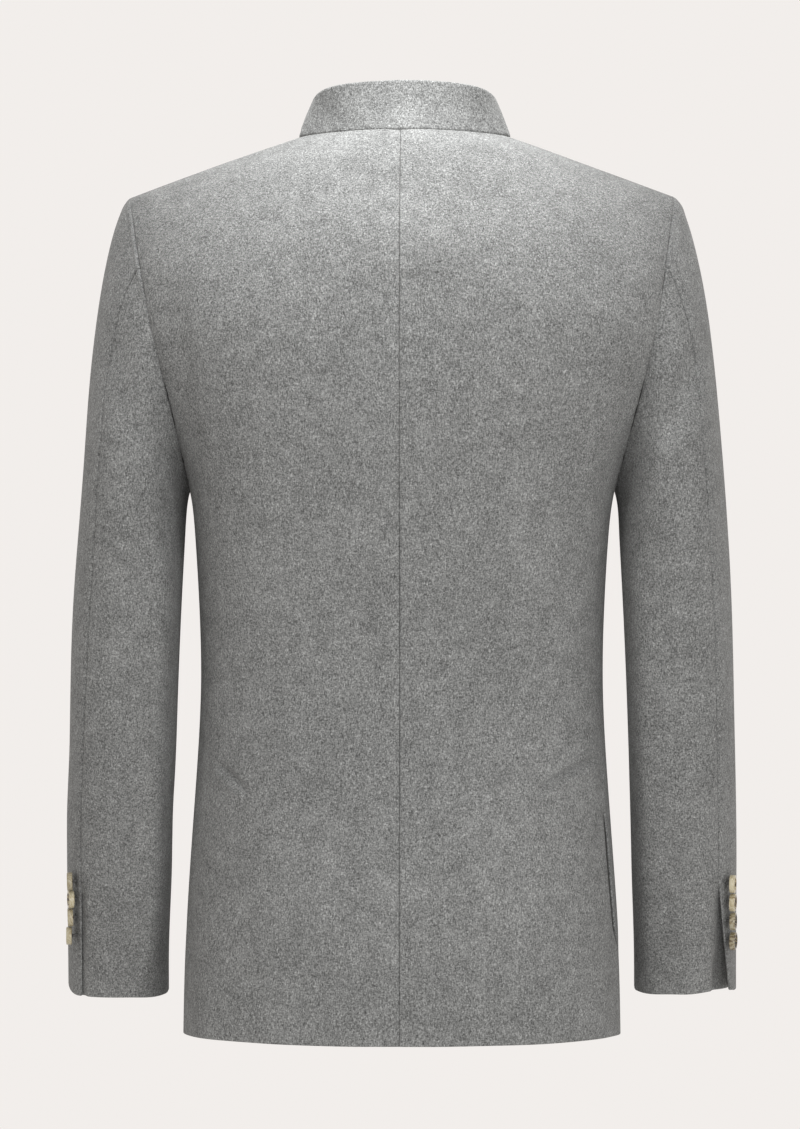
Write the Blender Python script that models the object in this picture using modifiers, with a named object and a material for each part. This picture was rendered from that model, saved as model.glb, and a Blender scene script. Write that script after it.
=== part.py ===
"""Loden jacket with a stand collar, hollow, in the pose of a worn jacket.

Metres, +Z up. +Y is the wearer's front, +X the wearer's right.
The origin is the middle of the neck base, between the two side-neck points.
All the named sizes below are millimetres and are turned to metres at the end.
"""
import bpy
import bmesh
import math
import numpy as np
from mathutils import Matrix, Vector

MM = 0.001

# ------------------------------------------------------------------ cloth
CLOTH = 2.0              # wall of the loden
COLLAR_CLOTH = 3.0       # the stand collar is two layers sewn as one
SEAM_GAP = 0.3           # pieces stay this far apart at every seam

# ------------------------------------------------------------------ body
HEM_Z = -729.0
UNDERARM_Z = -289.0
CENTRE_RISE = 0.006      # the hem is this share higher at the centre lines

# depth of the back and of the front at the centre, before the shoulders roll over
CENTRE_LINES = [
    # z       back    front
    (-729.0, 130.0, 124.0),
    (-640.0, 128.0, 124.0),
    (-560.0, 120.0, 122.0),
    (-450.0, 109.0, 120.0),
    (-370.0, 117.0, 125.0),
    (-290.0, 127.0, 130.0),
    (-215.0, 131.0, 129.0),
    (-150.0, 127.0, 117.0),
    (-100.0, 119.0, 101.0),
    ( -50.0, 115.0,  87.0),
    (  -4.0, 124.0,  82.0),
]

# half widths of the body's plan sections, its squareness (2 is an ellipse)
# and how far behind the widest line the side seam runs; above the underarm
# the widths go on under the armholes, which cut the panels short
SECTIONS = [
    # z       back    front  square  seam
    (-729.0, 176.6, 176.6,  2.40,   6.0),
    (-700.0, 176.1, 176.1,  2.40,  10.0),
    (-640.0, 173.9, 173.9,  2.40,  20.0),
    (-560.0, 168.8, 168.8,  2.45,  25.0),
    (-500.0, 164.6, 164.6,  2.50,  22.0),
    (-450.0, 162.4, 162.4,  2.50,  16.0),
    (-380.0, 163.6, 163.6,  2.65,   8.0),
    (-330.0, 166.4, 166.4,  2.85,   2.5),
    (-289.0, 171.8, 171.8,  3.00,   0.0),
    (-270.0, 177.4, 175.6,  3.00,   0.0),
    (-250.0, 184.6, 179.6,  3.00,   0.0),
    (-230.0, 192.6, 184.2,  3.00,   0.0),
    (-210.0, 200.8, 189.5,  3.00,   0.0),
    (-190.0, 208.0, 195.0,  3.00,   0.0),
    (-170.0, 214.0, 200.6,  3.00,   0.0),
    (-140.0, 220.5, 208.5,  3.00,   0.0),
    (-110.0, 225.5, 216.0,  3.00,   0.0),
    ( -56.0, 231.0, 226.0,  3.00,   0.0),
    (   0.0, 234.0, 232.0,  3.00,   0.0),
]

# shoulders: the ridge falls from the neck to the tip, and the panels roll
# over it within ROLL millimetres of height
RIDGE_TOP = 31.2
RIDGE_SLOPE = 0.375
RIDGE_SOFT = 45.0        # how softly the ridge turns over at the neck
ROLL = {"back": 145.0, "front": 150.0}
NECK_X = 86.0
NECK_BACK_Z = -4.0
NECK_FRONT_Z = -78.0
BACK_DROP = 56.0         # the row through the shoulder tip is lower at centre back
FRONT_DROP = 94.0        # and lower still at centre front

# armhole: a leaning ring, angle 0 at the shoulder tip, 90 behind, 180 underarm
ARM_TOP_X = 219.5
ARM_BOTTOM_X = 171.8
ARM_SCOOP = 8.0          # the front of the armhole is cut this much deeper

FRONT_LAP = 18.0         # the left front laps this far past the centre
FRONT_UNDERLAP = 14.0    # the right front goes this far under it
LAP_STEP = CLOTH + 0.9   # the right front is set in by this much under the lap
LAP_TOP = 1.0            # the fronts' top edges clear the collar's ends by this
LAP_START = 75.0         # starting to step in this far from the centre
LAP_FULL = 32.0          # and done this far from it
SIDE_VENT_Z = -540.0     # side vents open from here to the hem
SIDE_VENT_OPEN = 1.6     # and are this wide at the hem

# ---------------------------------------------------------------- sleeves
ELBOW_SEAM = [61.5, 51.0, 46.5]    # ring angle at armhole, upper arm and cuff
FORE_SEAM = 230.0
SLEEVE_JOIN_Z = -330.0
CUFF_Z = -698.0

# height, middle x and y, half width and half depth of the sleeve's rings
SLEEVE_RINGS = [
    # z       mid_x  mid_y  half_x half_y
    (-300.0, 217.6,  -8.0, 43.4,  78.0),
    (-330.0, 219.4,  -8.0, 43.6,  76.0),
    (-380.0, 222.0,  -8.0, 43.6,  72.0),
    (-476.0, 225.5,  -2.0, 42.9,  64.5),
    (-573.0, 228.6,  13.0, 42.6,  57.5),
    (-640.0, 229.9,  27.0, 42.2,  54.0),
    (-698.0, 230.8,  40.0, 42.2,  52.0),
]
RING_FULL = 0.93         # below 1 the rings are fuller than ellipses

# how the sleeve leaves the armhole: angle, outward x, y and downward z in mm
SLEEVE_HEAD = [
    # angle    x      y      z
    (  0.0,   24.0,   0.0, -17.0),
    ( 45.0,   22.0,  -3.0, -26.0),
    ( 90.0,   15.0,  -2.0, -38.0),
    (135.0,    9.0,  -2.0, -20.0),
    (180.0,    4.0,   0.0,  -8.0),
    (225.0,    9.0,   2.0, -20.0),
    (270.0,   17.0,   3.0, -36.0),
    (315.0,   24.0,   3.0, -25.0),
    (360.0,   24.0,   0.0, -17.0),
]
UNDERARM_EASE = 0.35               # the fold under the arm is a little looser
CUFF_VENT_Z = -601.0               # the cuff vents open from here down
CUFF_VENT_OPEN = {"left": 1.2, "right": 7.0}   # and are this wide at the edge

# ----------------------------------------------------------------- collar
COLLAR_BACK = (-46.0, 34.0)        # depth and height of its top at centre back
COLLAR_SIDE = (74.6, 4.0, 26.0)    # x, depth and height of its top at the side
COLLAR_FRONT = (71.0, -42.0)       # depth and height of its top at the front
COLLAR_END = 2.0                   # each end stops this far from the centre

# ---------------------------------------------------------------- buttons
CUFF_BUTTON = {"radius": 7.2, "thick": 4.4, "hole": 0.9, "spread": 1.9}
FRONT_BUTTON = {"radius": 10.5, "thick": 4.4, "hole": 1.2, "spread": 2.6}
CUFF_BUTTON_Z = {"left": [-604.3, -619.2, -634.0, -648.8], "right": [-605.7, -620.8, -636.2, -652.5]}
CUFF_BUTTON_ANGLE = {"left": 41.0, "right": 40.0}
CUFF_BUTTON_LEAN = {"left": 27.0, "right": 20.0}    # they lean on their threads
FRONT_BUTTON_Z = [-118.0, -222.0, -326.0, -430.0, -534.0]

# --------------------------------------------------------------- fineness
LOW_ROWS = 9
SHOULDER_ROWS = 5
BODY_COLUMNS = 9
LAP_COLUMNS = 1
BACK_ANGLES = [157.0, 133.0, 109.0, 85.0, 61.5, 41.0, 20.5]
FRONT_ANGLES = [205.0, 230.0, 256.0, 282.0, 308.0, 334.0]
HEAD_ROWS = 6
RING_ROWS = 7
COLLAR_ROWS = 3
BUTTON_STEPS = 16

LODEN = (0.23, 0.23, 0.22, 1.0)
HORN = (0.55, 0.42, 0.24, 1.0)


# ---------------------------------------------------------------- helpers
def spline(xs, ys, x):
    """Natural cubic spline through the table's points."""
    xs, ys = np.asarray(xs, float), np.asarray(ys, float)
    if xs[0] > xs[-1]:
        xs, ys = xs[::-1], ys[::-1]
    n = len(xs)
    h = np.diff(xs)
    a = np.eye(n)
    r = np.zeros(n)
    for i in range(1, n - 1):
        a[i, i - 1:i + 2] = h[i - 1], 2 * (h[i - 1] + h[i]), h[i]
        r[i] = 6 * ((ys[i + 1] - ys[i]) / h[i] - (ys[i] - ys[i - 1]) / h[i - 1])
    m = np.linalg.solve(a, r)
    i = int(np.clip(np.searchsorted(xs, x) - 1, 0, n - 2))
    lo, hi = xs[i + 1] - x, x - xs[i]
    return ((m[i] * lo ** 3 + m[i + 1] * hi ** 3) / (6 * h[i])
            + (ys[i] / h[i] - m[i] * h[i] / 6) * lo
            + (ys[i + 1] / h[i] - m[i + 1] * h[i] / 6) * hi)


def column(table, key, at):
    return spline([row[0] for row in table], [row[key] for row in table], at)


def unit(v):
    return v / np.linalg.norm(v)


def bezier(p0, p1, p2, p3, u):
    return ((1 - u) ** 3 * p0 + 3 * u * (1 - u) ** 2 * p1
            + 3 * u * u * (1 - u) * p2 + u ** 3 * p3)


def smooth(x):
    x = min(max(x, 0.0), 1.0)
    return x * x * (3 - 2 * x)


def signed_power(v, p):
    return math.copysign(abs(v) ** p, v)


# ------------------------------------------------------------------- body
def ridge(x):
    return RIDGE_TOP - RIDGE_SLOPE * math.hypot(x, RIDGE_SOFT)


def body_depth(x, z, back):
    """Depth of the back (negative) or of the front at a place on the right half."""
    centre = column(CENTRE_LINES, 1 if back else 2, z)
    half, square = column(SECTIONS, 1 if back else 2, z), column(SECTIONS, 3, z)
    below = min(max((ridge(x) - z) / ROLL["back" if back else "front"], 0.0), 1.0)
    over = math.sqrt(1.0 - (1.0 - below) ** 2)
    plan = max(0.0, 1.0 - (abs(x) / half) ** square) ** (1.0 / square)
    return (-1.0 if back else 1.0) * centre * over * plan


ARM_TOP_Z = ridge(ARM_TOP_X)


def armhole(angle):
    """A point of the right armhole."""
    c, s = math.cos(math.radians(angle)), math.sin(math.radians(angle))
    share = (1 + c) / 2
    z = UNDERARM_Z + (ARM_TOP_Z - UNDERARM_Z) * share
    x = ARM_BOTTOM_X + (ARM_TOP_X - ARM_BOTTOM_X) * share
    if abs(s) < 1e-9:
        return np.array([x, 0.0, z])
    if s < 0:
        x -= ARM_SCOOP * s * s
    return np.array([x, body_depth(x, z, s > 0), z])


def body_path(level, back, t):
    """One row of the right half: t 0 on the centre line, 1 on the row's edge."""
    if level <= 1.0:
        z = HEM_Z + (UNDERARM_Z - HEM_Z) * level
        rise = -CENTRE_RISE * z
        square, seam = column(SECTIONS, 3, z), max(0.0, column(SECTIONS, 4, z))
        half = column(SECTIONS, 1, z)
        behind = math.asin((seam / column(CENTRE_LINES, 1, z)) ** (square / 2))
        end = behind if back else -behind
        turn = math.pi / 2 + (end - math.pi / 2) * t
        x = half * math.cos(turn) ** (2 / square)
        on_back = back if turn >= 0 else True
        z += rise * (1.0 - t) ** 2
        if on_back != back:
            depth = column(CENTRE_LINES, 1, z)
            return np.array([x, -depth * abs(math.sin(turn)) ** (2 / square), z])
        half_here = column(SECTIONS, 1 if back else 2, z)
        depth = column(CENTRE_LINES, 1 if back else 2, z)
        return np.array([x * half_here / half, (-1 if back else 1) * depth
                         * abs(math.sin(turn)) ** (2 / square), z])
    out = 1.0
    if level <= 2.0:
        angle = 180.0 * (2.0 - level)
        edge = armhole(angle if back else 360.0 - angle)
        high = (1 + math.cos(math.radians(angle))) / 2
        drop = (BACK_DROP if back else FRONT_DROP) * high ** 1.5
        centre_z = edge[2] * (1 - CENTRE_RISE) - drop
    else:
        out = 3.0 - level
        x = NECK_X + (ARM_TOP_X - NECK_X) * out
        edge = np.array([x, 0.0, ridge(x)])
        low = ARM_TOP_Z * (1 - CENTRE_RISE)
        if back:
            centre_z = NECK_BACK_Z + (low - BACK_DROP - NECK_BACK_Z) * out ** 1.2
        else:
            centre_z = NECK_FRONT_Z + (low - FRONT_DROP - NECK_FRONT_Z) * out ** 1.1
    if t >= 1.0:
        return edge
    bow = 1.0 if back else 1.0 - 0.35 * smooth(1.0 - out)
    across = math.sin(math.pi / 2 * t)
    x = edge[0] * across
    z = centre_z + (edge[2] - centre_z) * (1.0 - (1.0 - across * across) ** bow)
    return np.array([x, body_depth(x, z, back), z])


def body_row(level, back, count):
    """A row as count + 1 points at equal lengths from the centre line."""
    ts = np.linspace(0.0, 1.0, 121)
    pts = np.array([body_path(level, back, t) for t in ts])
    run = np.concatenate([[0], np.cumsum(np.linalg.norm(np.diff(pts, axis=0), axis=1))])
    steps = np.interp(np.linspace(0, run[-1], count + 1), run, ts)
    return np.array([body_path(level, back, t) for t in steps])


def body_grid(levels, back):
    """Rows from hem to neck, columns from the centre line to the edge."""
    return np.array([body_row(level, back, BODY_COLUMNS) for level in levels])


LOW_LEVELS = list(np.linspace(0.0, 1.0, LOW_ROWS + 1))
SHOULDER_LEVELS = list(np.linspace(2.0, 3.0, SHOULDER_ROWS + 1))
BACK_LEVELS = LOW_LEVELS + [2.0 - a / 180.0 for a in BACK_ANGLES] + SHOULDER_LEVELS
FRONT_LEVELS = LOW_LEVELS + [2.0 - (360.0 - a) / 180.0 for a in FRONT_ANGLES] + SHOULDER_LEVELS


# ---------------------------------------------------------------- sleeves
def sleeve_ring(z, angle):
    mx, my, hx, hy = (column(SLEEVE_RINGS, k, z) for k in range(1, 5))
    a = math.radians(angle)
    return np.array([mx + hx * signed_power(math.cos(a), RING_FULL),
                     my - hy * signed_power(math.sin(a), RING_FULL), z])


def sleeve_point(down, angle):
    """down 0 at the armhole, 1 at the join of head and rings, 2 at the cuff."""
    angle = angle % 360.0
    if down >= 1.0:
        return sleeve_ring(SLEEVE_JOIN_Z + (CUFF_Z - SLEEVE_JOIN_Z) * (down - 1.0), angle)
    start = armhole(angle)
    end = sleeve_ring(SLEEVE_JOIN_Z, angle)
    leave = np.array([column(SLEEVE_HEAD, k, angle) for k in range(1, 4)])
    run = unit(sleeve_ring(SLEEVE_JOIN_Z - 8.0, angle) - end)
    reach = 0.36 * (start[2] - end[2])
    return bezier(start, start + leave, end - reach * run, end, down)


def elbow_angle(down):
    return float(np.interp(down, [0.0, 1.0, 2.0], ELBOW_SEAM))


SLEEVE_DOWN = list(np.linspace(0, 1, HEAD_ROWS + 1)) + list(np.linspace(1, 2, RING_ROWS + 1)[1:])


def sleeve_grid(top):
    """Rows from cuff to armhole; columns along the armhole's own angles."""
    first = ELBOW_SEAM[0]
    grid = []
    for down in reversed(SLEEVE_DOWN):
        elbow = elbow_angle(down)
        if top:
            at_arm = [a for a in FRONT_ANGLES if a >= FORE_SEAM] + [360.0]
            at_arm += [360.0 + a for a in reversed(BACK_ANGLES) if a <= first]
            lo, hi, end = FORE_SEAM, 360.0 + first, 360.0 + elbow
            angles = [lo + (a - lo) * (end - lo) / (hi - lo) for a in at_arm]
        else:
            at_arm = [a for a in reversed(BACK_ANGLES) if a >= first] + [180.0]
            at_arm += [a for a in FRONT_ANGLES if a <= FORE_SEAM]
            angles = [FORE_SEAM - (FORE_SEAM - a) * (FORE_SEAM - elbow) / (FORE_SEAM - first)
                      for a in at_arm]
        grid.append([sleeve_point(down, a) for a in angles])
    return np.array(grid)


# ----------------------------------------------------------------- collar
def collar_top(u, back):
    side = np.array(COLLAR_SIDE)
    if back:
        centre = np.array([0.0, *COLLAR_BACK])
        row = (centre, centre + np.array([54.0, 0, 0]), side - np.array([0, 40.0, -3.0]), side)
    else:
        centre = np.array([0.0, *COLLAR_FRONT])
        row = (centre, centre + np.array([40.0, 0, 0]), side + np.array([0, 34.0, -14.0]), side)
    return bezier(*row, u)


def collar_grid():
    """Rows from the neck seam up; columns from the right end round to the left."""
    half = []
    for back in (False, True):
        part = []
        for k, base in enumerate(body_row(3.0, back, BODY_COLUMNS)):
            top = collar_top(k / BODY_COLUMNS, back)
            part.append([base + (top - base) * r / COLLAR_ROWS for r in range(COLLAR_ROWS + 1)])
        half += part if not back else part[::-1][1:]
    half = np.array(half)
    other = half[::-1][1:] * np.array([-1.0, 1.0, 1.0])
    grid = np.concatenate([half, other]).transpose(1, 0, 2).copy()
    grid[:, 0, 0] = COLLAR_END
    grid[:, -1, 0] = -COLLAR_END
    return grid


# ---------------------------------------------------- from grids to solids
def grid_normals(grid):
    du = np.gradient(grid, axis=1)
    dv = np.gradient(grid, axis=0)
    n = np.cross(du, dv)
    return n / np.linalg.norm(n, axis=2, keepdims=True)


def face_out(grid, normals, outward):
    """Turn the normals so that they point out of the garment."""
    return normals if np.sum(normals * outward) > 0 else -normals


def mirrored(grid):
    return grid[:, ::-1] * np.array([-1.0, 1.0, 1.0])


SEAMS = {}


def seam_key(p):
    return tuple(int(round(c * 50)) for c in p)


def border(grid):
    r, c = grid.shape[:2]
    for i in range(r):
        for j in range(c):
            if i in (0, r - 1) or j in (0, c - 1):
                yield i, j


def note_seams(grid, normals, family):
    """Keep each border normal by family, so that a seam's two sides count alike."""
    for i, j in border(grid):
        sides = SEAMS.setdefault(seam_key(grid[i, j]), {})
        sides.setdefault(family, []).append(normals[i, j])


def seam_normal(p):
    sides = SEAMS[seam_key(p)]
    return unit(sum(unit(np.sum(normals, axis=0)) for normals in sides.values()))


def seam_depth(p):
    """How much longer than the wall the mitred edge of a seam is."""
    shared = seam_normal(p)
    sides = [float(shared @ unit(np.sum(n, axis=0))) for n in SEAMS[seam_key(p)].values()]
    return 1.0 / max(0.7, sum(sides) / len(sides))


def drawn_in(grid, amount):
    """Move the border into the piece by amount(side, i, j) millimetres."""
    out = grid.copy()
    r, c = grid.shape[:2]

    def draw(i, j, to, mm):
        across = unit(grid[to] - grid[i, j])
        shared = seam_normal(grid[i, j])
        out[i, j] += mm * unit(across - (across @ shared) * shared)

    for i in range(r):
        draw(i, 0, (i, 1), amount("first", i, 0))
        draw(i, c - 1, (i, c - 2), amount("last", i, c - 1))
    for j in range(c):
        draw(0, j, (1, j), amount("low", 0, j))
        draw(r - 1, j, (r - 2, j), amount("high", r - 1, j))
    return out


def cloth_piece(name, grid, normals, amount, wall, collection, material):
    """A wall of cloth: the outer face as a grid, drawn inward along the seam normals."""
    inward = -normals * wall
    for i, j in border(grid):
        inward[i, j] = -seam_normal(grid[i, j]) * wall * seam_depth(grid[i, j])
    outer = drawn_in(grid, amount)
    inner = outer + inward
    rows, cols = grid.shape[:2]
    bm = bmesh.new()
    tag = bm.verts.layers.int.new("cell")
    bmesh.ops.create_grid(bm, x_segments=cols - 1, y_segments=rows - 1, size=1.0)
    order = sorted(bm.verts, key=lambda v: (round(v.co.y, 4), round(v.co.x, 4)))
    for k, v in enumerate(order):
        v[tag] = k
        v.co = Vector(outer[k // cols, k % cols] * MM)
    made = bmesh.ops.extrude_face_region(bm, geom=bm.faces[:], use_keep_orig=True)
    inside = {v for v in made["geom"] if isinstance(v, bmesh.types.BMVert)}
    for v in inside:
        k = v[tag]
        v.co = Vector(inner[k // cols, k % cols] * MM)

    # the rims of two neighbours are split along the same diagonals
    def height(v):
        x, y, z = grid[v[tag] // cols, v[tag] % cols]
        return (round(z, 3), round(y, 3), round(abs(x), 3))

    for face in bm.faces[:]:
        out = [v for v in face.verts if v not in inside]
        if len(out) == 2:
            low, high = sorted(out, key=height)
            across = [v for v in face.verts if v in inside and v[tag] == high[tag]][0]
            bmesh.utils.face_split(face, low, across)
    bmesh.ops.recalc_face_normals(bm, faces=bm.faces[:])
    mesh = bpy.data.meshes.new(name)
    bm.to_mesh(mesh)
    bm.free()
    obj = bpy.data.objects.new(name, mesh)
    mesh.materials.append(material)
    collection.objects.link(obj)
    return obj


# ----------------------------------------------------------------- scene
for old in list(bpy.data.objects):
    bpy.data.objects.remove(old, do_unlink=True)

jacket = bpy.data.collections.new("loden_jacket")
bpy.context.scene.collection.children.link(jacket)
cutters = bpy.data.collections.new("cutters")
bpy.context.scene.collection.children.link(cutters)


def plain_material(name, colour, roughness):
    mat = bpy.data.materials.new(name)
    mat.use_nodes = True
    shader = mat.node_tree.nodes["Principled BSDF"]
    shader.inputs["Base Color"].default_value = colour
    shader.inputs["Roughness"].default_value = roughness
    return mat


# the grids of the right half, then of both halves
back_right = body_grid(BACK_LEVELS, True)
front_right = body_grid(FRONT_LEVELS, False)
top_right = sleeve_grid(True)
under_right = sleeve_grid(False)
collar = collar_grid()

pieces = {}


def add(name, grid, centre):
    outward = grid - np.asarray(centre(grid))
    normals = face_out(grid, grid_normals(grid), outward)
    pieces[name] = [grid, normals]


def body_axis(grid):
    axis = grid.copy()
    axis[..., 0] *= 0.35
    axis[..., 1] = 0.0
    axis[..., 2] -= 40.0
    return axis


def sleeve_axis(grid):
    side = np.sign(np.mean(grid[..., 0]))
    axis = grid.copy()
    axis[..., 0] = side * 222.0
    axis[..., 1] = 5.0
    return axis


def neck_axis(grid):
    axis = grid.copy()
    axis[..., 0] = 0.0
    axis[..., 1] = 5.0
    return axis


for side in ("right", "left"):
    turn = (lambda g: g) if side == "right" else mirrored
    add("back_" + side, turn(back_right), body_axis)
    add("front_" + side, turn(front_right), body_axis)
    add("sleeve_top_" + side, turn(top_right), sleeve_axis)
    add("sleeve_under_" + side, turn(under_right), sleeve_axis)
add("collar", collar, neck_axis)

# the centre lines and the front edges: exact normals straight from symmetry
for grid, normals in pieces.values():
    on_centre = np.abs(grid[..., 0]) < 1e-6
    normals[on_centre, 0] = 0.0
    normals /= np.linalg.norm(normals, axis=2, keepdims=True)
for name, (grid, normals) in pieces.items():
    note_seams(grid, normals, "body" if name[:4] in ("back", "fron") else name[:6])


def with_lap(name, reach, step):
    """Carry a front past the centre line along the other half's form."""
    side = 1.0 if name.endswith("right") else -1.0
    grid, normals = pieces[name]
    extra, extra_n = [], []
    for level, row_n in zip(FRONT_LEVELS, normals):
        ts = np.linspace(0.0, 0.6, 120)
        xs = [body_path(level, False, t)[0] for t in ts]
        cols = []
        for k in range(LAP_COLUMNS, 0, -1):
            p = body_path(level, False, float(np.interp(reach * k / LAP_COLUMNS, xs, ts)))
            cols.append(p * np.array([-side, 1.0, 1.0]))
        extra.append(cols)
    extra = np.array(extra)
    centre_first = side > 0
    own_n = normals[:, 0] if centre_first else normals[:, -1]
    extra_n = np.repeat(own_n[:, None], LAP_COLUMNS, axis=1)
    if centre_first:
        grid = np.concatenate([extra, grid], axis=1)
        normals = np.concatenate([extra_n, normals], axis=1)
    else:
        grid = np.concatenate([grid, extra[:, ::-1]], axis=1)
        normals = np.concatenate([normals, extra_n], axis=1)
    if step:
        share = np.vectorize(smooth)((LAP_START - side * grid[..., 0]) / (LAP_START - LAP_FULL))
        grid = grid - normals * (step * share)[..., None]
    pieces[name] = [grid, normals]
    for i, j in border(grid):
        SEAMS.setdefault(seam_key(grid[i, j]), {"body": [normals[i, j]]})


with_lap("front_left", FRONT_LAP, 0.0)
with_lap("front_right", FRONT_UNDERLAP, LAP_STEP)

half_gap = SEAM_GAP / 2


def body_gap(name):
    grid = pieces[name][0]
    edge = "last" if name.endswith("right") else "first"

    def amount(side, i, j):
        if side == "low":
            return 0.0
        if side == "high" and abs(grid[i, j, 0]) < FRONT_LAP + 1 and grid[i, j, 1] > 0:
            return LAP_TOP
        if side == edge and grid[i, j, 2] < SIDE_VENT_Z:
            down = (SIDE_VENT_Z - grid[i, j, 2]) / (SIDE_VENT_Z - HEM_Z)
            return half_gap + 0.5 * SIDE_VENT_OPEN * down
        return half_gap
    return amount


def sleeve_gap(name):
    grid = pieces[name][0]
    hand = "right" if name.endswith("right") else "left"
    under = "under" in name
    vent = "first" if under == (hand == "right") else "last"

    def amount(side, i, j):
        if side == "low":
            return 0.0
        if side == vent and grid[i, j, 2] < CUFF_VENT_Z:
            down = (CUFF_VENT_Z - grid[i, j, 2]) / (CUFF_VENT_Z - CUFF_Z)
            return half_gap + (0.85 if under else 0.15) * CUFF_VENT_OPEN[hand] * down
        if side == "high" and grid[i, j, 2] < UNDERARM_Z + 30.0:
            return half_gap + UNDERARM_EASE
        return half_gap
    return amount


def collar_gap(side, i, j):
    return half_gap if side == "low" else 0.0


for name, (grid, normals) in pieces.items():
    material = plain_material(name + "_loden", LODEN, 0.95)
    if name == "collar":
        cloth_piece(name, grid, normals, collar_gap, COLLAR_CLOTH, jacket, material)
    elif name.startswith("sleeve"):
        cloth_piece(name, grid, normals, sleeve_gap(name), CLOTH, jacket, material)
    else:
        cloth_piece(name, grid, normals, body_gap(name), CLOTH, jacket, material)


# ---------------------------------------------------------------- buttons
def turned_button(name, size, where, normal, up):
    """A horn button: a screwed profile with four sewing holes."""
    r, t = size["radius"] * MM, size["thick"] * MM
    profile = [(0.0, 0.72 * t), (0.64 * r, 0.78 * t), (0.78 * r, t), (0.95 * r, t),
               (r, 0.90 * t), (r, 0.12 * t), (0.95 * r, 0.0), (0.0, 0.0)]
    mesh = bpy.data.meshes.new(name)
    mesh.from_pydata([(x, 0.0, z) for x, z in profile],
                     [(k, k + 1) for k in range(len(profile) - 1)], [])
    obj = bpy.data.objects.new(name, mesh)
    jacket.objects.link(obj)
    screw = obj.modifiers.new("turn", "SCREW")
    screw.axis = "Z"
    screw.steps = screw.render_steps = BUTTON_STEPS
    screw.use_merge_vertices = True
    screw.merge_threshold = 0.00001
    screw.use_normal_calculate = True
    bm = bmesh.new()
    for sx in (-1, 1):
        for sy in (-1, 1):
            hole = Matrix.Translation((sx * size["spread"] * MM * 0.7071,
                                       sy * size["spread"] * MM * 0.7071, 0.4 * t))
            bmesh.ops.create_cone(bm, cap_ends=True, segments=6, radius1=size["hole"] * MM,
                                  radius2=size["hole"] * MM, depth=3 * t, matrix=hole)
    drill_mesh = bpy.data.meshes.new(name + "_drill")
    bm.to_mesh(drill_mesh)
    bm.free()
    drill = bpy.data.objects.new(name + "_drill", drill_mesh)
    cutters.objects.link(drill)
    drill.hide_render = True
    drill.display_type = "WIRE"
    cut = obj.modifiers.new("holes", "BOOLEAN")
    cut.operation = "DIFFERENCE"
    cut.solver = "EXACT"
    cut.object = drill
    z_axis = Vector(unit(normal))
    x_axis = Vector(unit(np.cross(up, normal)))
    y_axis = z_axis.cross(x_axis)
    turn = Matrix((x_axis, y_axis, z_axis)).transposed().to_4x4()
    place = Matrix.Translation(Vector(where * MM)) @ turn
    obj.matrix_world = place
    drill.matrix_world = place
    mesh.materials.append(plain_material(name + "_horn", HORN, 0.35))
    return obj


def sleeve_normal(down, angle):
    a = sleeve_point(down, angle + 2.0) - sleeve_point(down, angle - 2.0)
    b = sleeve_point(down + 0.01, angle) - sleeve_point(down - 0.01, angle)
    n = unit(np.cross(a, b))
    return n if n[0] * math.cos(math.radians(angle)) > 0 else -n


BUTTON_LIFT = 0.6        # clear of the faceted cloth below it

for side, flip in (("left", -1.0), ("right", 1.0)):
    for k, z in enumerate(CUFF_BUTTON_Z[side], start=1):
        down = 1.0 + (SLEEVE_JOIN_Z - z) / (SLEEVE_JOIN_Z - CUFF_Z)
        n = sleeve_normal(down, CUFF_BUTTON_ANGLE[side])
        lean = math.radians(CUFF_BUTTON_LEAN[side])
        p = sleeve_point(down, CUFF_BUTTON_ANGLE[side]) + n * (
            BUTTON_LIFT + 0.85 * CUFF_BUTTON["radius"] * math.sin(lean))
        n = np.array([n[0] * math.cos(lean) - n[1] * math.sin(lean),
                      n[0] * math.sin(lean) + n[1] * math.cos(lean), n[2]])
        mirror = np.array([flip, 1.0, 1.0])
        turned_button(f"cuff_button_{side}_{k}", CUFF_BUTTON, p * mirror, n * mirror,
                      np.array([0.0, 0.0, 1.0]))

for k, z in enumerate(FRONT_BUTTON_Z, start=1):
    rise = unit(np.array([0.0, body_depth(0.0, z + 3.0, False) - body_depth(0.0, z - 3.0, False), 6.0]))
    n = np.array([0.0, rise[2], -rise[1]])
    p = np.array([0.0, body_depth(0.0, z, False), z])
    turned_button(f"front_button_{k}", FRONT_BUTTON, p + n * BUTTON_LIFT, n, rise)
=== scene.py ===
"""Looks of the loden jacket: cloth shells on the part's own form, horn buttons, studio.

The form is worked out in millimetres from the same named sizes as the part,
+Z up, +Y the wearer's front, +X the wearer's right, origin at the neck base.
"""
import math

import bpy
import bmesh
import numpy as np
from mathutils import Matrix, Vector


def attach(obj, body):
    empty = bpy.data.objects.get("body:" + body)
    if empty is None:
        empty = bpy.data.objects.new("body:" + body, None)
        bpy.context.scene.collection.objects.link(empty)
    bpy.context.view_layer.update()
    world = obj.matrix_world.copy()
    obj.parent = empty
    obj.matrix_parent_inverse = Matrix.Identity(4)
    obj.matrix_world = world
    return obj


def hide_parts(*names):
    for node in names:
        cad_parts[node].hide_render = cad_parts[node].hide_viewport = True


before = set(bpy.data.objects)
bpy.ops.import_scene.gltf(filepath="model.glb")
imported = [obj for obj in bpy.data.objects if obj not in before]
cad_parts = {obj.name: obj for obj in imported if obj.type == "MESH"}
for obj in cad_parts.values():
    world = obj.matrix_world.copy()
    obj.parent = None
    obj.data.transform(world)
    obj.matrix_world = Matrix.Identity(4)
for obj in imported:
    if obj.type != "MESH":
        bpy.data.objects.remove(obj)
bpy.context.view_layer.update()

MM = 0.001

# ================================================================ the form
CLOTH = 2.0
COLLAR_CLOTH = 3.0
HALF_GAP = 0.15

HEM_Z = -729.0
UNDERARM_Z = -289.0
CENTRE_RISE = 0.006

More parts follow.
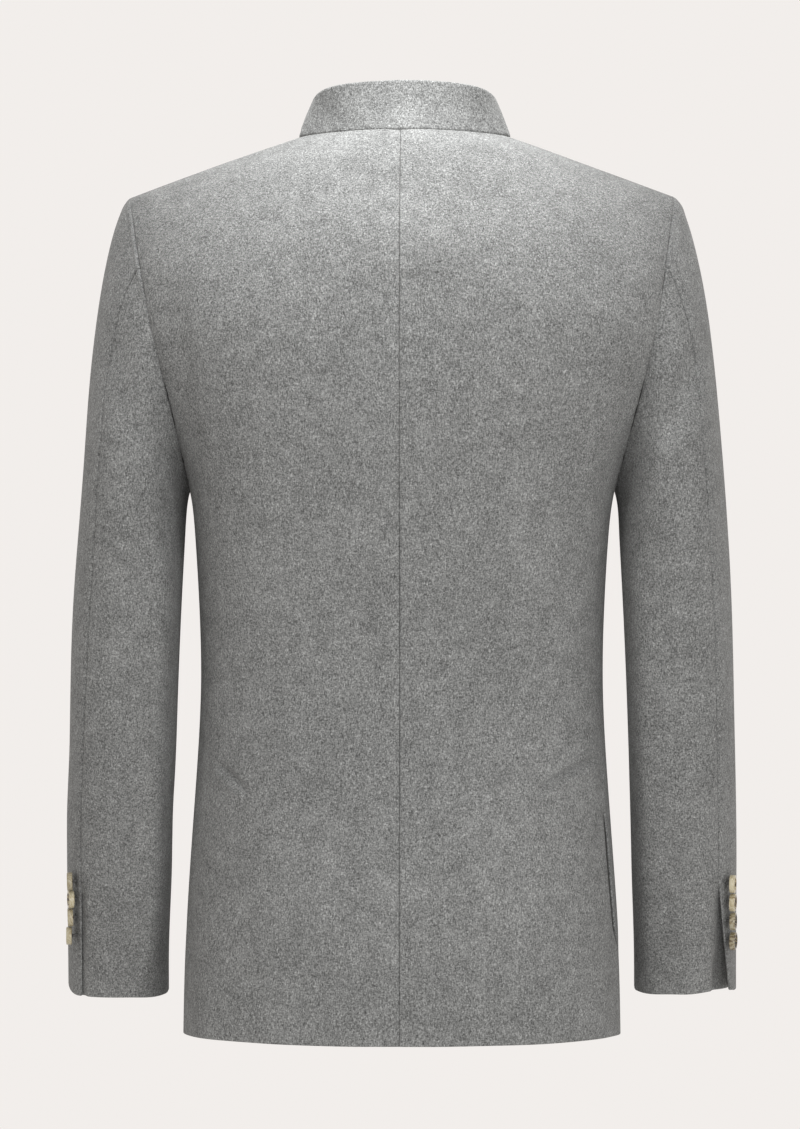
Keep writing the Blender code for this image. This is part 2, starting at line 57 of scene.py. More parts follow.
CENTRE_LINES = [
    # z       back    front
    (-729.0, 130.0, 124.0), (-640.0, 128.0, 124.0), (-560.0, 120.0, 122.0),
    (-450.0, 109.0, 120.0), (-370.0, 117.0, 125.0), (-290.0, 127.0, 130.0),
    (-215.0, 131.0, 129.0), (-150.0, 127.0, 117.0), (-100.0, 119.0, 101.0),
    (-50.0, 115.0, 87.0), (-4.0, 124.0, 82.0),
]
SECTIONS = [
    # z       back    front  square  seam
    (-729.0, 176.6, 176.6, 2.40, 6.0), (-700.0, 176.1, 176.1, 2.40, 10.0),
    (-640.0, 173.9, 173.9, 2.40, 20.0), (-560.0, 168.8, 168.8, 2.45, 25.0),
    (-500.0, 164.6, 164.6, 2.50, 22.0), (-450.0, 162.4, 162.4, 2.50, 16.0),
    (-380.0, 163.6, 163.6, 2.65, 8.0), (-330.0, 166.4, 166.4, 2.85, 2.5),
    (-289.0, 171.8, 171.8, 3.00, 0.0), (-270.0, 177.4, 175.6, 3.00, 0.0),
    (-250.0, 184.6, 179.6, 3.00, 0.0), (-230.0, 192.6, 184.2, 3.00, 0.0),
    (-210.0, 200.8, 189.5, 3.00, 0.0), (-190.0, 208.0, 195.0, 3.00, 0.0),
    (-170.0, 214.0, 200.6, 3.00, 0.0), (-140.0, 220.5, 208.5, 3.00, 0.0),
    (-110.0, 225.5, 216.0, 3.00, 0.0), (-56.0, 231.0, 226.0, 3.00, 0.0),
    (0.0, 234.0, 232.0, 3.00, 0.0),
]
RIDGE_TOP, RIDGE_SLOPE, RIDGE_SOFT = 31.2, 0.375, 45.0
ROLL = {True: 145.0, False: 150.0}
NECK_X, NECK_BACK_Z, NECK_FRONT_Z = 86.0, -4.0, -78.0
BACK_DROP, FRONT_DROP = 56.0, 94.0
ARM_TOP_X, ARM_BOTTOM_X, ARM_SCOOP = 219.5, 171.8, 8.0
FRONT_LAP, FRONT_UNDERLAP, LAP_STEP = 18.0, 14.0, CLOTH + 0.9
LAP_START, LAP_FULL = 75.0, 32.0
SIDE_VENT_Z = -540.0

ELBOW_SEAM = {      # (down, angle): the hind-arm seam drifts a little off its straight line
    "left": [(0.0, 61.5), (0.2, 58.0), (0.4, 55.5), (0.6, 53.0), (0.82, 54.5), (1.08, 56.5), (1.26, 55.5),
             (1.44, 51.5), (1.7, 50.8), (2.0, 50.5)],
    "right": [(0.0, 61.5), (0.25, 60.5), (0.5, 58.0), (0.8, 56.5), (1.1, 55.0), (1.22, 53.5), (1.44, 54.5),
              (2.0, 55.5)],
}
FORE_SEAM = 230.0
SLEEVE_JOIN_Z, CUFF_Z, CUFF_VENT_Z = -330.0, -698.0, -601.0
SLEEVE_RINGS = [
    # z       mid_x  mid_y  half_x half_y
    (-300.0, 217.6, -8.0, 43.4, 78.0), (-330.0, 219.4, -8.0, 43.6, 76.0),
    (-380.0, 222.0, -8.0, 43.6, 72.0), (-476.0, 225.5, -2.0, 42.9, 64.5),
    (-573.0, 228.6, 13.0, 42.6, 57.5), (-640.0, 229.9, 27.0, 42.2, 54.0),
    (-698.0, 230.8, 40.0, 42.2, 52.0),
]
RING_FULL = 0.93
SLEEVE_HEAD = [
    # angle    x      y      z
    (0.0, 24.0, 0.0, -17.0), (45.0, 22.0, -3.0, -26.0), (90.0, 15.0, -2.0, -38.0),
    (135.0, 9.0, -2.0, -20.0), (180.0, 4.0, 0.0, -8.0), (225.0, 9.0, 2.0, -20.0),
    (270.0, 17.0, 3.0, -36.0), (315.0, 24.0, 3.0, -25.0), (360.0, 24.0, 0.0, -17.0),
]
UNDERARM_EASE = 0.35

COLLAR_BACK = (-46.0, 34.0)
COLLAR_SIDE = (74.6, 4.0, 26.0)
COLLAR_FRONT = (71.0, -42.0)
COLLAR_END = 2.0

CUFF_BUTTON = {"radius": 7.2, "thick": 4.4, "hole": 0.9, "spread": 1.9}
FRONT_BUTTON = {"radius": 10.5, "thick": 4.4, "hole": 1.2, "spread": 2.6}
CUFF_BUTTON_Z = {"left": [-604.3, -619.2, -634.0, -648.8], "right": [-605.7, -620.8, -636.2, -652.5]}
CUFF_BUTTON_ANGLE = {"left": 41.0, "right": 40.0}
CUFF_BUTTON_LEAN = {"left": 27.0, "right": 20.0}
FRONT_BUTTON_Z = [-118.0, -222.0, -326.0, -430.0, -534.0]
BUTTON_LIFT = 0.6


class Curve:
    """Natural cubic spline through a table's column, for whole arrays."""

    def __init__(self, table, key):
        rows = sorted(table)
        self.x = np.array([r[0] for r in rows], float)
        self.y = np.array([r[key] for r in rows], float)
        n, h = len(rows), np.diff(self.x)
        a, r = np.eye(n), np.zeros(n)
        for i in range(1, n - 1):
            a[i, i - 1:i + 2] = h[i - 1], 2 * (h[i - 1] + h[i]), h[i]
            r[i] = 6 * ((self.y[i + 1] - self.y[i]) / h[i] - (self.y[i] - self.y[i - 1]) / h[i - 1])
        self.h, self.m = h, np.linalg.solve(a, r)

    def __call__(self, at):
        at = np.asarray(at, float)
        i = np.clip(np.searchsorted(self.x, at) - 1, 0, len(self.x) - 2)
        lo, hi, h = self.x[i + 1] - at, at - self.x[i], self.h[i]
        return ((self.m[i] * lo ** 3 + self.m[i + 1] * hi ** 3) / (6 * h)
                + (self.y[i] / h - self.m[i] * h / 6) * lo
                + (self.y[i + 1] / h - self.m[i + 1] * h / 6) * hi)


DEPTH = {True: Curve(CENTRE_LINES, 1), False: Curve(CENTRE_LINES, 2)}
HALF = {True: Curve(SECTIONS, 1), False: Curve(SECTIONS, 2)}
SQUARE, SEAM = Curve(SECTIONS, 3), Curve(SECTIONS, 4)
RING = [Curve(SLEEVE_RINGS, k) for k in range(1, 5)]
HEAD = [Curve(SLEEVE_HEAD, k) for k in range(1, 4)]


def smooth(x):
    x = np.clip(x, 0.0, 1.0)
    return x * x * (3 - 2 * x)


def bump(x):
    return np.exp(-np.square(x))


def spow(v, p):
    return np.sign(v) * np.abs(v) ** p


def unit(v):
    return v / np.linalg.norm(v, axis=-1, keepdims=True)


def stack(x, y, z):
    return np.stack(np.broadcast_arrays(x, y, z), axis=-1).astype(float)


def ridge(x):
    return RIDGE_TOP - RIDGE_SLOPE * np.hypot(x, RIDGE_SOFT)


def body_depth(x, z, back):
    below = np.clip((ridge(x) - z) / ROLL[back], 0.0, 1.0)
    over = np.sqrt(1.0 - (1.0 - below) ** 2)
    sq = SQUARE(z)
    plan = np.maximum(0.0, 1.0 - (np.abs(x) / HALF[back](z)) ** sq) ** (1.0 / sq)
    return (-1.0 if back else 1.0) * DEPTH[back](z) * over * plan


ARM_TOP_Z = float(ridge(ARM_TOP_X))


def armhole(angle):
    a = np.radians(angle)
    c, s = np.cos(a), np.sin(a)
    share = (1 + c) / 2
    z = UNDERARM_Z + (ARM_TOP_Z - UNDERARM_Z) * share
    x = ARM_BOTTOM_X + (ARM_TOP_X - ARM_BOTTOM_X) * share
    x = np.where(s < 0, x - ARM_SCOOP * s * s, x)
    y = np.where(s > 0, body_depth(x, z, True), body_depth(x, z, False))
    y = np.where(np.abs(s) < 1e-9, 0.0, y)
    return stack(x, y, z)


def body_path(level, back, t):
    """One row of the right half: t 0 on the centre line, 1 on the row's edge."""
    t = np.asarray(t, float)
    if level <= 1.0:
        z0 = HEM_Z + (UNDERARM_Z - HEM_Z) * level
        square, seam = float(SQUARE(z0)), max(0.0, float(SEAM(z0)))
        half = float(HALF[True](z0))
        behind = math.asin((seam / float(DEPTH[True](z0))) ** (square / 2))
        end = behind if back else -behind
        turn = math.pi / 2 + (end - math.pi / 2) * t
        x = half * np.maximum(np.cos(turn), 0.0) ** (2 / square)
        z = z0 - CENTRE_RISE * z0 * (1.0 - t) ** 2
        lift = np.abs(np.sin(turn)) ** (2 / square)
        own = turn >= 0
        depth = np.where(own, (-1.0 if back else 1.0) * DEPTH[back](z), -DEPTH[True](z))
        wide = np.where(own, HALF[back](z) / half, 1.0)
        return stack(x * wide, depth * lift, z)
    out = 1.0
    if level <= 2.0:
        angle = 180.0 * (2.0 - level)
        edge = armhole(angle if back else 360.0 - angle)
        high = (1 + math.cos(math.radians(angle))) / 2
        drop = (BACK_DROP if back else FRONT_DROP) * high ** 1.5
        centre_z = edge[2] * (1 - CENTRE_RISE) - drop
    else:
        out = 3.0 - level
        x = NECK_X + (ARM_TOP_X - NECK_X) * out
        edge = np.array([x, 0.0, float(ridge(x))])
        low = ARM_TOP_Z * (1 - CENTRE_RISE)
        if back:
            centre_z = NECK_BACK_Z + (low - BACK_DROP - NECK_BACK_Z) * out ** 1.2
        else:
            centre_z = NECK_FRONT_Z + (low - FRONT_DROP - NECK_FRONT_Z) * out ** 1.1
    bow = 1.0 if back else 1.0 - 0.35 * float(smooth(1.0 - out))
    across = np.sin(np.pi / 2 * t)
    x = edge[0] * across
    z = centre_z + (edge[2] - centre_z) * (1.0 - (1.0 - np.minimum(across * across, 1.0)) ** bow)
    pts = stack(x, body_depth(x, z, back), z)
    return np.where((t >= 1.0)[..., None], edge, pts)


def run_of(pts):
    return np.concatenate([[0], np.cumsum(np.linalg.norm(np.diff(pts, axis=0), axis=1))])


DENSE = np.unique(np.concatenate([[0.0], np.geomspace(1e-7, 1 / 320, 80), np.linspace(0.0, 1.0, 321)]))


def row_at(level, back, s_of_length):
    """Points of a row at lengths s from the centre line; past either end the row goes on."""
    run = run_of(body_path(level, back, DENSE))
    s = s_of_length(run[-1])
    pts = body_path(level, back, np.interp(np.minimum(np.abs(s), run[-1]), run, DENSE))
    pts[s < 0, 0] *= -1
    past = s > run[-1]
    if past.any():
        other = run_of(body_path(level, not back, DENSE))
        at = np.interp(other[-1] - (s[past] - run[-1]), other, DENSE)
        pts[past] = body_path(level, not back, at)
    return pts, s, run[-1]


def sleeve_ring(z, angle):
    a = np.radians(angle)
    mx, my, hx, hy = (r(z) for r in RING)
    return stack(mx + hx * spow(np.cos(a), RING_FULL), my - hy * spow(np.sin(a), RING_FULL),
                 z + 0 * a)


def sleeve_point(down, angle):
    """down 0 at the armhole, 1 at the join of head and rings, 2 at the cuff."""
    angle = np.asarray(angle, float) % 360.0
    if down >= 1.0:
        return sleeve_ring(SLEEVE_JOIN_Z + (CUFF_Z - SLEEVE_JOIN_Z) * (down - 1.0), angle)
    start, end = armhole(angle), sleeve_ring(SLEEVE_JOIN_Z, angle)
    leave = stack(*(h(angle) for h in HEAD))
    run = unit(sleeve_ring(SLEEVE_JOIN_Z - 8.0, angle) - end)
    reach = 0.36 * (start[..., 2:] - end[..., 2:])
    u, p1, p2 = down, start + leave, end - reach * run
    return ((1 - u) ** 3 * start + 3 * u * (1 - u) ** 2 * p1
            + 3 * u * u * (1 - u) * p2 + u ** 3 * end)


def collar_top(u, back):
    side = np.array(COLLAR_SIDE)
    if back:
        c = np.array([0.0, *COLLAR_BACK])
        p = (c, c + np.array([54.0, 0, 0]), side - np.array([0, 40.0, -3.0]), side)
    else:
        c = np.array([0.0, *COLLAR_FRONT])
        p = (c, c + np.array([40.0, 0, 0]), side + np.array([0, 34.0, -14.0]), side)
    u = np.asarray(u, float)[:, None]
    return (1 - u) ** 3 * p[0] + 3 * u * (1 - u) ** 2 * p[1] + 3 * u * u * (1 - u) * p[2] + u ** 3 * p[3]


# ========================================================== sheets of cloth
NEAR_SEAM = [0.0, 0.25, 0.6, 1.1, 1.8, 2.8, 4.2, 6.5]     # finer columns beside an edge
SEAM_ROLL = {"deep": 1.25, "wide": 2.3}                    # the cloth turns down into a seam


class Sheet:
    """A grid of cloth: base points, outward normals and the lengths to its four edges."""

    def __init__(self, name, points, centre):
        self.name, self.p = name, points
        du, dv = np.gradient(points, axis=1), np.gradient(points, axis=0)
        n = unit(np.cross(du, dv))
        self.flip = np.sum(n * (points - centre(points))) < 0
        self.n = -n if self.flip else n
        across = np.linalg.norm(np.diff(points, axis=1), axis=2)
        up = np.linalg.norm(np.diff(points, axis=0), axis=2)
        zero_c, zero_r = np.zeros((points.shape[0], 1)), np.zeros((1, points.shape[1]))
        self.first = np.concatenate([zero_c, np.cumsum(across, 1)], 1)
        self.last = self.first[:, -1:] - self.first
        self.low = np.concatenate([zero_r, np.cumsum(up, 0)], 0)
        self.high = self.low[-1:] - self.low
        self.drape = np.zeros(points.shape[:2])     # moves the whole wall
        self.outer = np.zeros(points.shape[:2])     # moves its outer face
        self.inner = np.zeros(points.shape[:2])     # moves its inner face
        self.shift = np.zeros_like(points)          # moves in any direction
        self.rim = self.n.copy()                    # the way the wall goes in
        self.deep = np.ones(points.shape[:2])       # and how much of the wall that takes
        self.sewn = {}                              # edges that meet a neighbour, by how much
        self.close = {}                             # what shuts the gap behind a seam

    def edge(self, which, grid, step=0):
        if which in ("first", "last"):
            return grid[:, step if which == "first" else -1 - step]
        return grid[step if which == "low" else -1 - step]

    @property
    def x(self):
        return self.p[..., 0]

    @property
    def y(self):
        return self.p[..., 1]

    @property
    def z(self):
        return self.p[..., 2]

    def seam(self, lengths, where=1.0, deep=SEAM_ROLL["deep"], wide=SEAM_ROLL["wide"]):
        """The outer face turns down beside a seam."""
        self.outer -= where * deep * np.clip(1 - lengths / wide, 0, 1) ** 2

    def free(self, lengths, wall, where=1.0):
        """Both faces turn round to meet at a free edge."""
        r = 0.5 * wall
        turn = 0.92 * r * (1 - np.sqrt(np.maximum(0, 1 - np.clip(1 - lengths / r, 0, 1) ** 2)))
        self.outer -= where * turn
        self.inner += where * turn

    def make(self, wall, material):
        base = self.p + self.shift + settle(self.p) + self.n * self.drape[..., None]
        out = base + self.rim * self.outer[..., None]
        ins = base - self.rim * (wall * self.deep - self.inner)[..., None]
        for which, way in self.close.items():
            edge = self.edge(which, ins)
            edge += way
        rows, cols = self.p.shape[:2]
        k = np.arange(rows * cols).reshape(rows, cols)
        a, b, c, d = k[:-1, :-1], k[:-1, 1:], k[1:, 1:], k[1:, :-1]
        face = np.stack([a, b, c, d], -1).reshape(-1, 4)
        if self.flip:
            face = face[:, ::-1]
        lower = face[:, ::-1] + rows * cols
        ring = np.concatenate([k[0, :-1], k[:-1, -1], k[-1, :0:-1], k[:0:-1, 0]])
        nxt = np.roll(ring, -1)
        rim = np.stack([nxt, ring, ring + rows * cols, nxt + rows * cols], -1)
        if self.flip:
            rim = rim[:, ::-1]
        faces = np.concatenate([face, lower, rim])
        co = np.concatenate([out.reshape(-1, 3), ins.reshape(-1, 3)]) * MM
        mesh = bpy.data.meshes.new(self.name)
        mesh.vertices.add(len(co))
        mesh.vertices.foreach_set("co", co.astype(np.float32).ravel())
        mesh.loops.add(faces.size)
        mesh.loops.foreach_set("vertex_index", faces.astype(np.int32).ravel())
        mesh.polygons.add(len(faces))
        mesh.polygons.foreach_set("loop_start", np.arange(0, faces.size, 4, dtype=np.int32))
        mesh.update(calc_edges=True)
        mesh.validate()
        mesh.polygons.foreach_set("use_smooth", np.ones(len(mesh.polygons), bool))
        mesh.materials.append(material)
        obj = bpy.data.objects.new(self.name + "_cloth", mesh)
        bpy.context.scene.collection.objects.link(obj)
        return obj


SHARED_RIM = 6.5            # how far from a seam its shared rim turns the wall


def join_seams(sheets):
    """Turn the walls on both sides of a seam one way, so that they neither cross nor gape."""
    places = [(s, w, s.edge(w, s.p), s.edge(w, s.n)) for s in sheets for w in s.sewn]
    for sheet, which, p, n in places:
        q = np.concatenate([a for o, _, a, _ in places if o is not sheet])
        m = np.concatenate([b for o, _, _, b in places if o is not sheet])
        gap = np.linalg.norm(p[:, None] - q[None], axis=2)
        near = gap.argmin(1)
        weight = (gap.min(1) < 1.5) * np.broadcast_to(sheet.sewn[which], near.shape)
        shared = unit(n + m[near])
        longer = 1.0 / np.maximum(0.75, np.sum(n * shared, axis=1))
        away = p - sheet.edge(which, sheet.p, 1)
        away = unit(away - np.sum(away * shared, axis=1)[:, None] * shared)
        sheet.close[which] = away * ((HALF_GAP - 0.01) * weight)[:, None]
        if which in ("first", "last"):
            weight, longer, shared = weight[:, None], longer[:, None], shared[:, None]
        else:
            weight, longer, shared = weight[None], longer[None], shared[None]
        w = np.clip(1 - getattr(sheet, which) / SHARED_RIM, 0, 1) ** 2 * weight
        sheet.rim = unit(sheet.rim * (1 - w)[..., None] + shared * w[..., None])
        sheet.deep = sheet.deep + (longer - 1) * w


def ripple(s, *waves):
    """Uneven waves along a seam: (size, period, phase) each."""
    return sum(a * np.sin(2 * np.pi * s / period + phase) for a, period, phase in waves)


def to_line(u, v, line):
    """Signed distance to a line of points, and the share of the way along it."""
    line = np.asarray(line, float)
    lengths = np.concatenate([[0], np.cumsum(np.linalg.norm(np.diff(line, axis=0), axis=1))])
    best = np.full(u.shape, 1e9)
    side, along = np.zeros(u.shape), np.zeros(u.shape)
    for k in range(len(line) - 1):
        d = line[k + 1] - line[k]
        size = np.linalg.norm(d)
        t = ((u - line[k, 0]) * d[0] + (v - line[k, 1]) * d[1]) / size ** 2
        tc = np.clip(t, 0, 1)
        du, dv = u - line[k, 0] - tc * d[0], v - line[k, 1] - tc * d[1]
        dist = np.hypot(du, dv)
        s = np.sign(d[0] * dv - d[1] * du)
        near = dist < best
        best = np.where(near, dist, best)
        side = np.where(near, s, side)
        along = np.where(near, (lengths[k] + np.where((t < 0) & (k == 0), t, np.where((t > 1) & (k == len(line) - 2), t, tc)) * size) / lengths[-1], along)
    return best * side, along


def crease(u, v, line, deep, wide, lip=0.0, lip_side=1.0, soft_end=0.3):
    """A soft trough along a line, with a raised lip on one side; it fades at its ends."""
    q, along = to_line(u, v, line)
    fade = smooth((along + soft_end * 0.5) / soft_end) * smooth((1 + soft_end * 0.5 - along) / soft_end)
    return fade * (-deep * bump(q / wide) + lip * bump((q - lip_side * 2.0 * wide) / (1.5 * wide)))


def settle(p):
    """How the jacket hangs a little unevenly: one smooth move for all the cloth, so seams stay shut."""
    x, y, z = p[..., 0], p[..., 1], p[..., 2]
    dx, dy, dz = np.zeros(x.shape), np.zeros(x.shape), np.zeros(x.shape)
    left, right = smooth((-x - 120.0) / 40.0), smooth((x - 120.0) / 40.0)
    off_left, off_right = (-x > 181.0) * 1.0, (x > 181.0) * 1.0
    # the left sleeve bends in above the elbow and swings out below it
    dx += 2.4 * bump((z + 285.0) / 85.0) * smooth((-x - 206.0) / 40.0)
    dx -= 1.5 * off_left * smooth((-490.0 - z) / 70.0)
    dx -= 2.4 * off_left * smooth((-590.0 - z) / 90.0) * smooth((x + 228.0) / 36.0)
    dx += 1.2 * off_right * smooth((-590.0 - z) / 90.0) * smooth((228.0 - x) / 36.0)
    dz += 8.5 * off_left * smooth((y - 2.0) / 40.0) * smooth((-x - 226.0) / 44.0) * smooth((-610.0 - z) / 85.0)
    dz -= 2.2 * off_left * smooth((-640.0 - z) / 55.0)
    dz += 1.2 * off_right * smooth((-640.0 - z) / 55.0)
    # the neck sits a little to the right
    dx += 2.2 * smooth((z + 80.0) / 70.0) * smooth((165.0 - np.abs(x)) / 80.0) * smooth(np.abs(x) / 50.0)
    # the hem is lifted between centre and sides
    half, square = HALF[True](np.maximum(z, HEM_Z)), 2.4
    turn = np.arccos(np.clip(np.abs(x) / half, 0, 1) ** (square / 2))
    t = 1 - turn / (np.pi / 2)
    dz += (np.abs(x) < 181.0) * (5.6 * (1 - t ** 4) - 4.4 * (1 - t) ** 2) * smooth((-575.0 - z) / 150.0)
    # hollows beside the lower armholes, behind and in front
    behind, before = smooth((-y - 4.0) / 26.0), smooth((y - 4.0) / 26.0)
    dx += 4.6 * behind * smooth((x - 140.0) / 40.0) * smooth((262.0 - x) / 42.0) * bump((z + 165.0) / 75.0)
    dx += 2.6 * behind * smooth((-x - 130.0) / 30.0) * smooth((250.0 + x) / 42.0) * bump((z + 235.0) / 60.0)
    dy += behind * left * -crease(x, z, [(-180.0, -132.0), (-174.0, -190.0), (-168.0, -250.0), (-162.0, -298.0)],
                                  3.6, 13.0, 0.5, -1.0)
    dy += behind * right * -crease(x, z, [(180.0, -196.0), (175.0, -250.0), (168.0, -306.0)],
                                   3.8, 12.0, 0.6, 1.0)
    dy += behind * right * -crease(x, z, [(238.0, -172.0), (223.0, -208.0), (205.0, -250.0)],
                                   5.5, 12.0, 1.8, 1.0, 0.5)
    dy += behind * left * -crease(x, z, [(-232.0, -160.0), (-220.0, -205.0), (-206.0, -250.0)],
                                  2.6, 14.0, 0.8, -1.0, 0.5)
    for side, f in ((left, -1.0), (right, 1.0)):
        dy += before * side * crease(x, z, [(f * 166.0, -150.0), (f * 161.0, -215.0), (f * 158.0, -285.0)],
                                     2.6, 13.0, 0.5, f)
    return stack(dx, dy, dz)


# ================================================================ the body
def columns(start, end, inner):
    near = np.array(NEAR_SEAM)
    middle = np.linspace(start + near[-1], end - near[-1], inner + 2)[1:-1]
    return np.concatenate([start + near, middle, (end - near)[::-1]])


HEM_ROWS = [0.0, 0.12, 0.4, 0.8, 1.4, 2.4, 4.0, 6.5]
LOW_LEVELS = list(np.array(HEM_ROWS) / (UNDERARM_Z - HEM_Z))
LOW_LEVELS += list((np.concatenate([np.arange(-719.0, -540.0, 4.5), np.arange(-540.0, -490.0, 2.2),
                                    np.arange(-490.0, -291.0, 4.5)]) - HEM_Z) / (UNDERARM_Z - HEM_Z))
ARM_LEVELS = list(1.0 + np.linspace(0.0, 1.0, 72))
NECK_LEVELS = list(2.0 + np.linspace(0.0, 1.0, 34)[1:-2])
NECK_LEVELS += [3.0 - d / 120.0 for d in (5.0, 3.2, 2.0, 1.2, 0.6, 0.15)]
LEVELS = LOW_LEVELS + ARM_LEVELS + NECK_LEVELS


def body_axis(p):
    return stack(p[..., 0] * 0.35, 0 * p[..., 1], p[..., 2] - 40.0)


def sleeve_axis(p):
    return stack(0 * p[..., 0] + np.sign(np.mean(p[..., 0])) * 222.0, 0 * p[..., 1] + 5.0, p[..., 2])


def neck_axis(p):
    return stack(0 * p[..., 0], 0 * p[..., 1] + 5.0, p[..., 2])


VENT_UNDER = 11.0          # one piece runs on under the other at the side vents
VENT_STEP = 2.8
VENT_TOP = {"left": "back", "right": "front"}   # the piece that lies on top there
VENT_GAPE = {"left": 0.0, "right": 1.0}         # whether the vent hangs open
VENT_DRAW, VENT_DEEP = 4.6, 4.0                 # how wide and how much deeper it then is
SIDE_SLIDE = {"left": 0.0, "right": 18.0}      # how far the side seam swings to the back above the hem


def vent_gape(side, z):
    return VENT_GAPE[side] * smooth((-538.0 - z) / 34.0) * smooth((z + 684.0) / 24.0)


def body_sheet(name, back, side):
    inner = 104
    rows, from_edge = [], []
    for level in LEVELS:
        z = HEM_Z + (UNDERARM_Z - HEM_Z) * level if level <= 1 else 0.0
        vent = float(smooth((SIDE_VENT_Z + 4.0 - z) / 26.0)) if level <= 1 else 0.0
        start = HALF_GAP if back else (-FRONT_LAP if side == "left" else -FRONT_UNDERLAP)
        on_top = VENT_TOP[side] == ("back" if back else "front")
        over = -VENT_DRAW * float(vent_gape(side, z)) if on_top else vent * VENT_UNDER
        gap = HALF_GAP + (0.25 * vent if back else 0.0)
        slide = SIDE_SLIDE[side] * float(smooth((-490.0 - z) / 40.0) * smooth((z + 668.0) / 30.0)) if level <= 1 else 0.0
        slide = -slide if back else slide
        pts, s, length = row_at(level, back, lambda full: columns(start, full - gap + over + slide, inner))
        rows.append(pts)
        from_edge.append(length + slide - s)
    grid = np.array(rows)
    if side == "left":
        grid = grid * np.array([-1.0, 1.0, 1.0])
    sheet = Sheet(name, grid, body_axis)
    sheet.to_edge = np.array(from_edge)
    sheet.vent = smooth((SIDE_VENT_Z - sheet.z) / 22.0) * (np.array(LEVELS)[:, None] <= 1.0)
    sheet.level = np.array(LEVELS)[:, None] + 0 * sheet.x
    return sheet


def along_edge(sheet, col):
    """Length along one edge column, for ripples that follow a seam."""
    return sheet.low[:, col][:, None] + 0 * sheet.x


def hem_waves(sheet, phase):
    fade = smooth((-560.0 - sheet.z) / 150.0) * smooth((sheet.to_edge - 6.0) / 34.0)
    s = sheet.first
    return fade * ripple(s, (0.9, 132.0, phase), (0.5, 71.0, 2.1 * phase + 0.7))


def finish_back(sheet, side):
    x, z, f = sheet.x, sheet.z, 1.0 if side == "right" else -1.0
    at_seam, at_edge = along_edge(sheet, 0), along_edge(sheet, -1)
    # the centre seam lies in a slight valley, with fine uneven puckers
    sheet.drape -= 0.7 * bump(sheet.first / 9.0)
    pucker = ripple(at_seam, (0.20, 17.3, 0.4 + f), (0.14, 11.9, 1.9 * f), (0.10, 29.0, 0.8))
    sheet.outer += pucker * bump((sheet.first - 4.0) / 7.0)
    sheet.seam(sheet.first, deep=0.75, wide=1.7)
    # side seam, armhole and shoulder seam; high up the armhole's seam hardly sinks in
    arm = smooth((sheet.level - 1.0) / 0.06) * smooth((2.03 - sheet.level) / 0.06)
    high = arm * smooth((z + 165.0) / 60.0)
    deep = arm * (1.0 - smooth((z + 165.0) / 60.0))
    sheet.seam(sheet.last, (1.0 - sheet.vent) * (1.0 - 0.72 * high - 0.75 * deep))
    sheet.sewn = {"first": 1.0, "last": 1.0 - sheet.vent[:, -1]}
    sheet.outer += arm * bump((sheet.last - 5.0) / 8.0) * ripple(
        at_edge, (0.24, 13.0, 0.9 * f), (0.16, 21.0, 2.0), (0.12, 8.7, 1.1 * f))
    sheet.seam(sheet.high, deep=0.45, wide=1.4)
    sheet.free(sheet.low, CLOTH)
    sheet.free(sheet.last, CLOTH, sheet.vent)
    # the round of the upper back, the shoulder blades and the hollows inside the lower armholes
    sheet.drape += 4.0 * bump((z + 90.0) / 34.0) * bump(x / 135.0) * smooth(sheet.last / 30.0)
    sheet.drape += 2.0 * bump((np.abs(x) - 98.0) / 62.0) * bump((z + 168.0) / 70.0)
    inside = smooth(sheet.last / 18.0)
    if side == "left":
        hip = [(-144.0, -509.0), (-134.0, -517.0), (-122.0, -528.0)]
        sheet.drape += crease(x, z, hip, 4.4, 2.8, 1.8, -1.0, 0.5)
        sheet.drape -= 2.0 * inside * bump((x + 148.0) / 26.0) * bump((z + 590.0) / 90.0)
    else:
        hip = [(110.0, -526.0), (122.0, -518.0), (136.0, -511.0), (152.0, -506.0)]
        sheet.drape += inside * crease(x, z, hip, 4.2, 2.8, 1.8, -1.0, 0.5)
        sheet.drape += 2.6 * inside * bump((x - 80.0) / 55.0) * bump((z + 560.0) / 60.0)
    sheet.drape += hem_waves(sheet, 0.6 + 1.3 * f) * smooth((sheet.first - 4.0) / 40.0)
    if VENT_TOP[side] == "front":       # the back steps in under the front's vent edge
        step = VENT_STEP + VENT_DEEP * vent_gape(side, z)
        sheet.drape -= step * sheet.vent * smooth((5.0 - sheet.to_edge) / 4.4)
    if side == "left":      # the left vent's corner is rounded off
        near = np.clip(1 - sheet.last / 9.0, 0, 1)
        lift = 9.0 * (1 - np.sqrt(np.maximum(0, 1 - near ** 2)))
        sheet.shift[..., 2] += lift * np.clip(1 - sheet.low / 40.0, 0, 1)


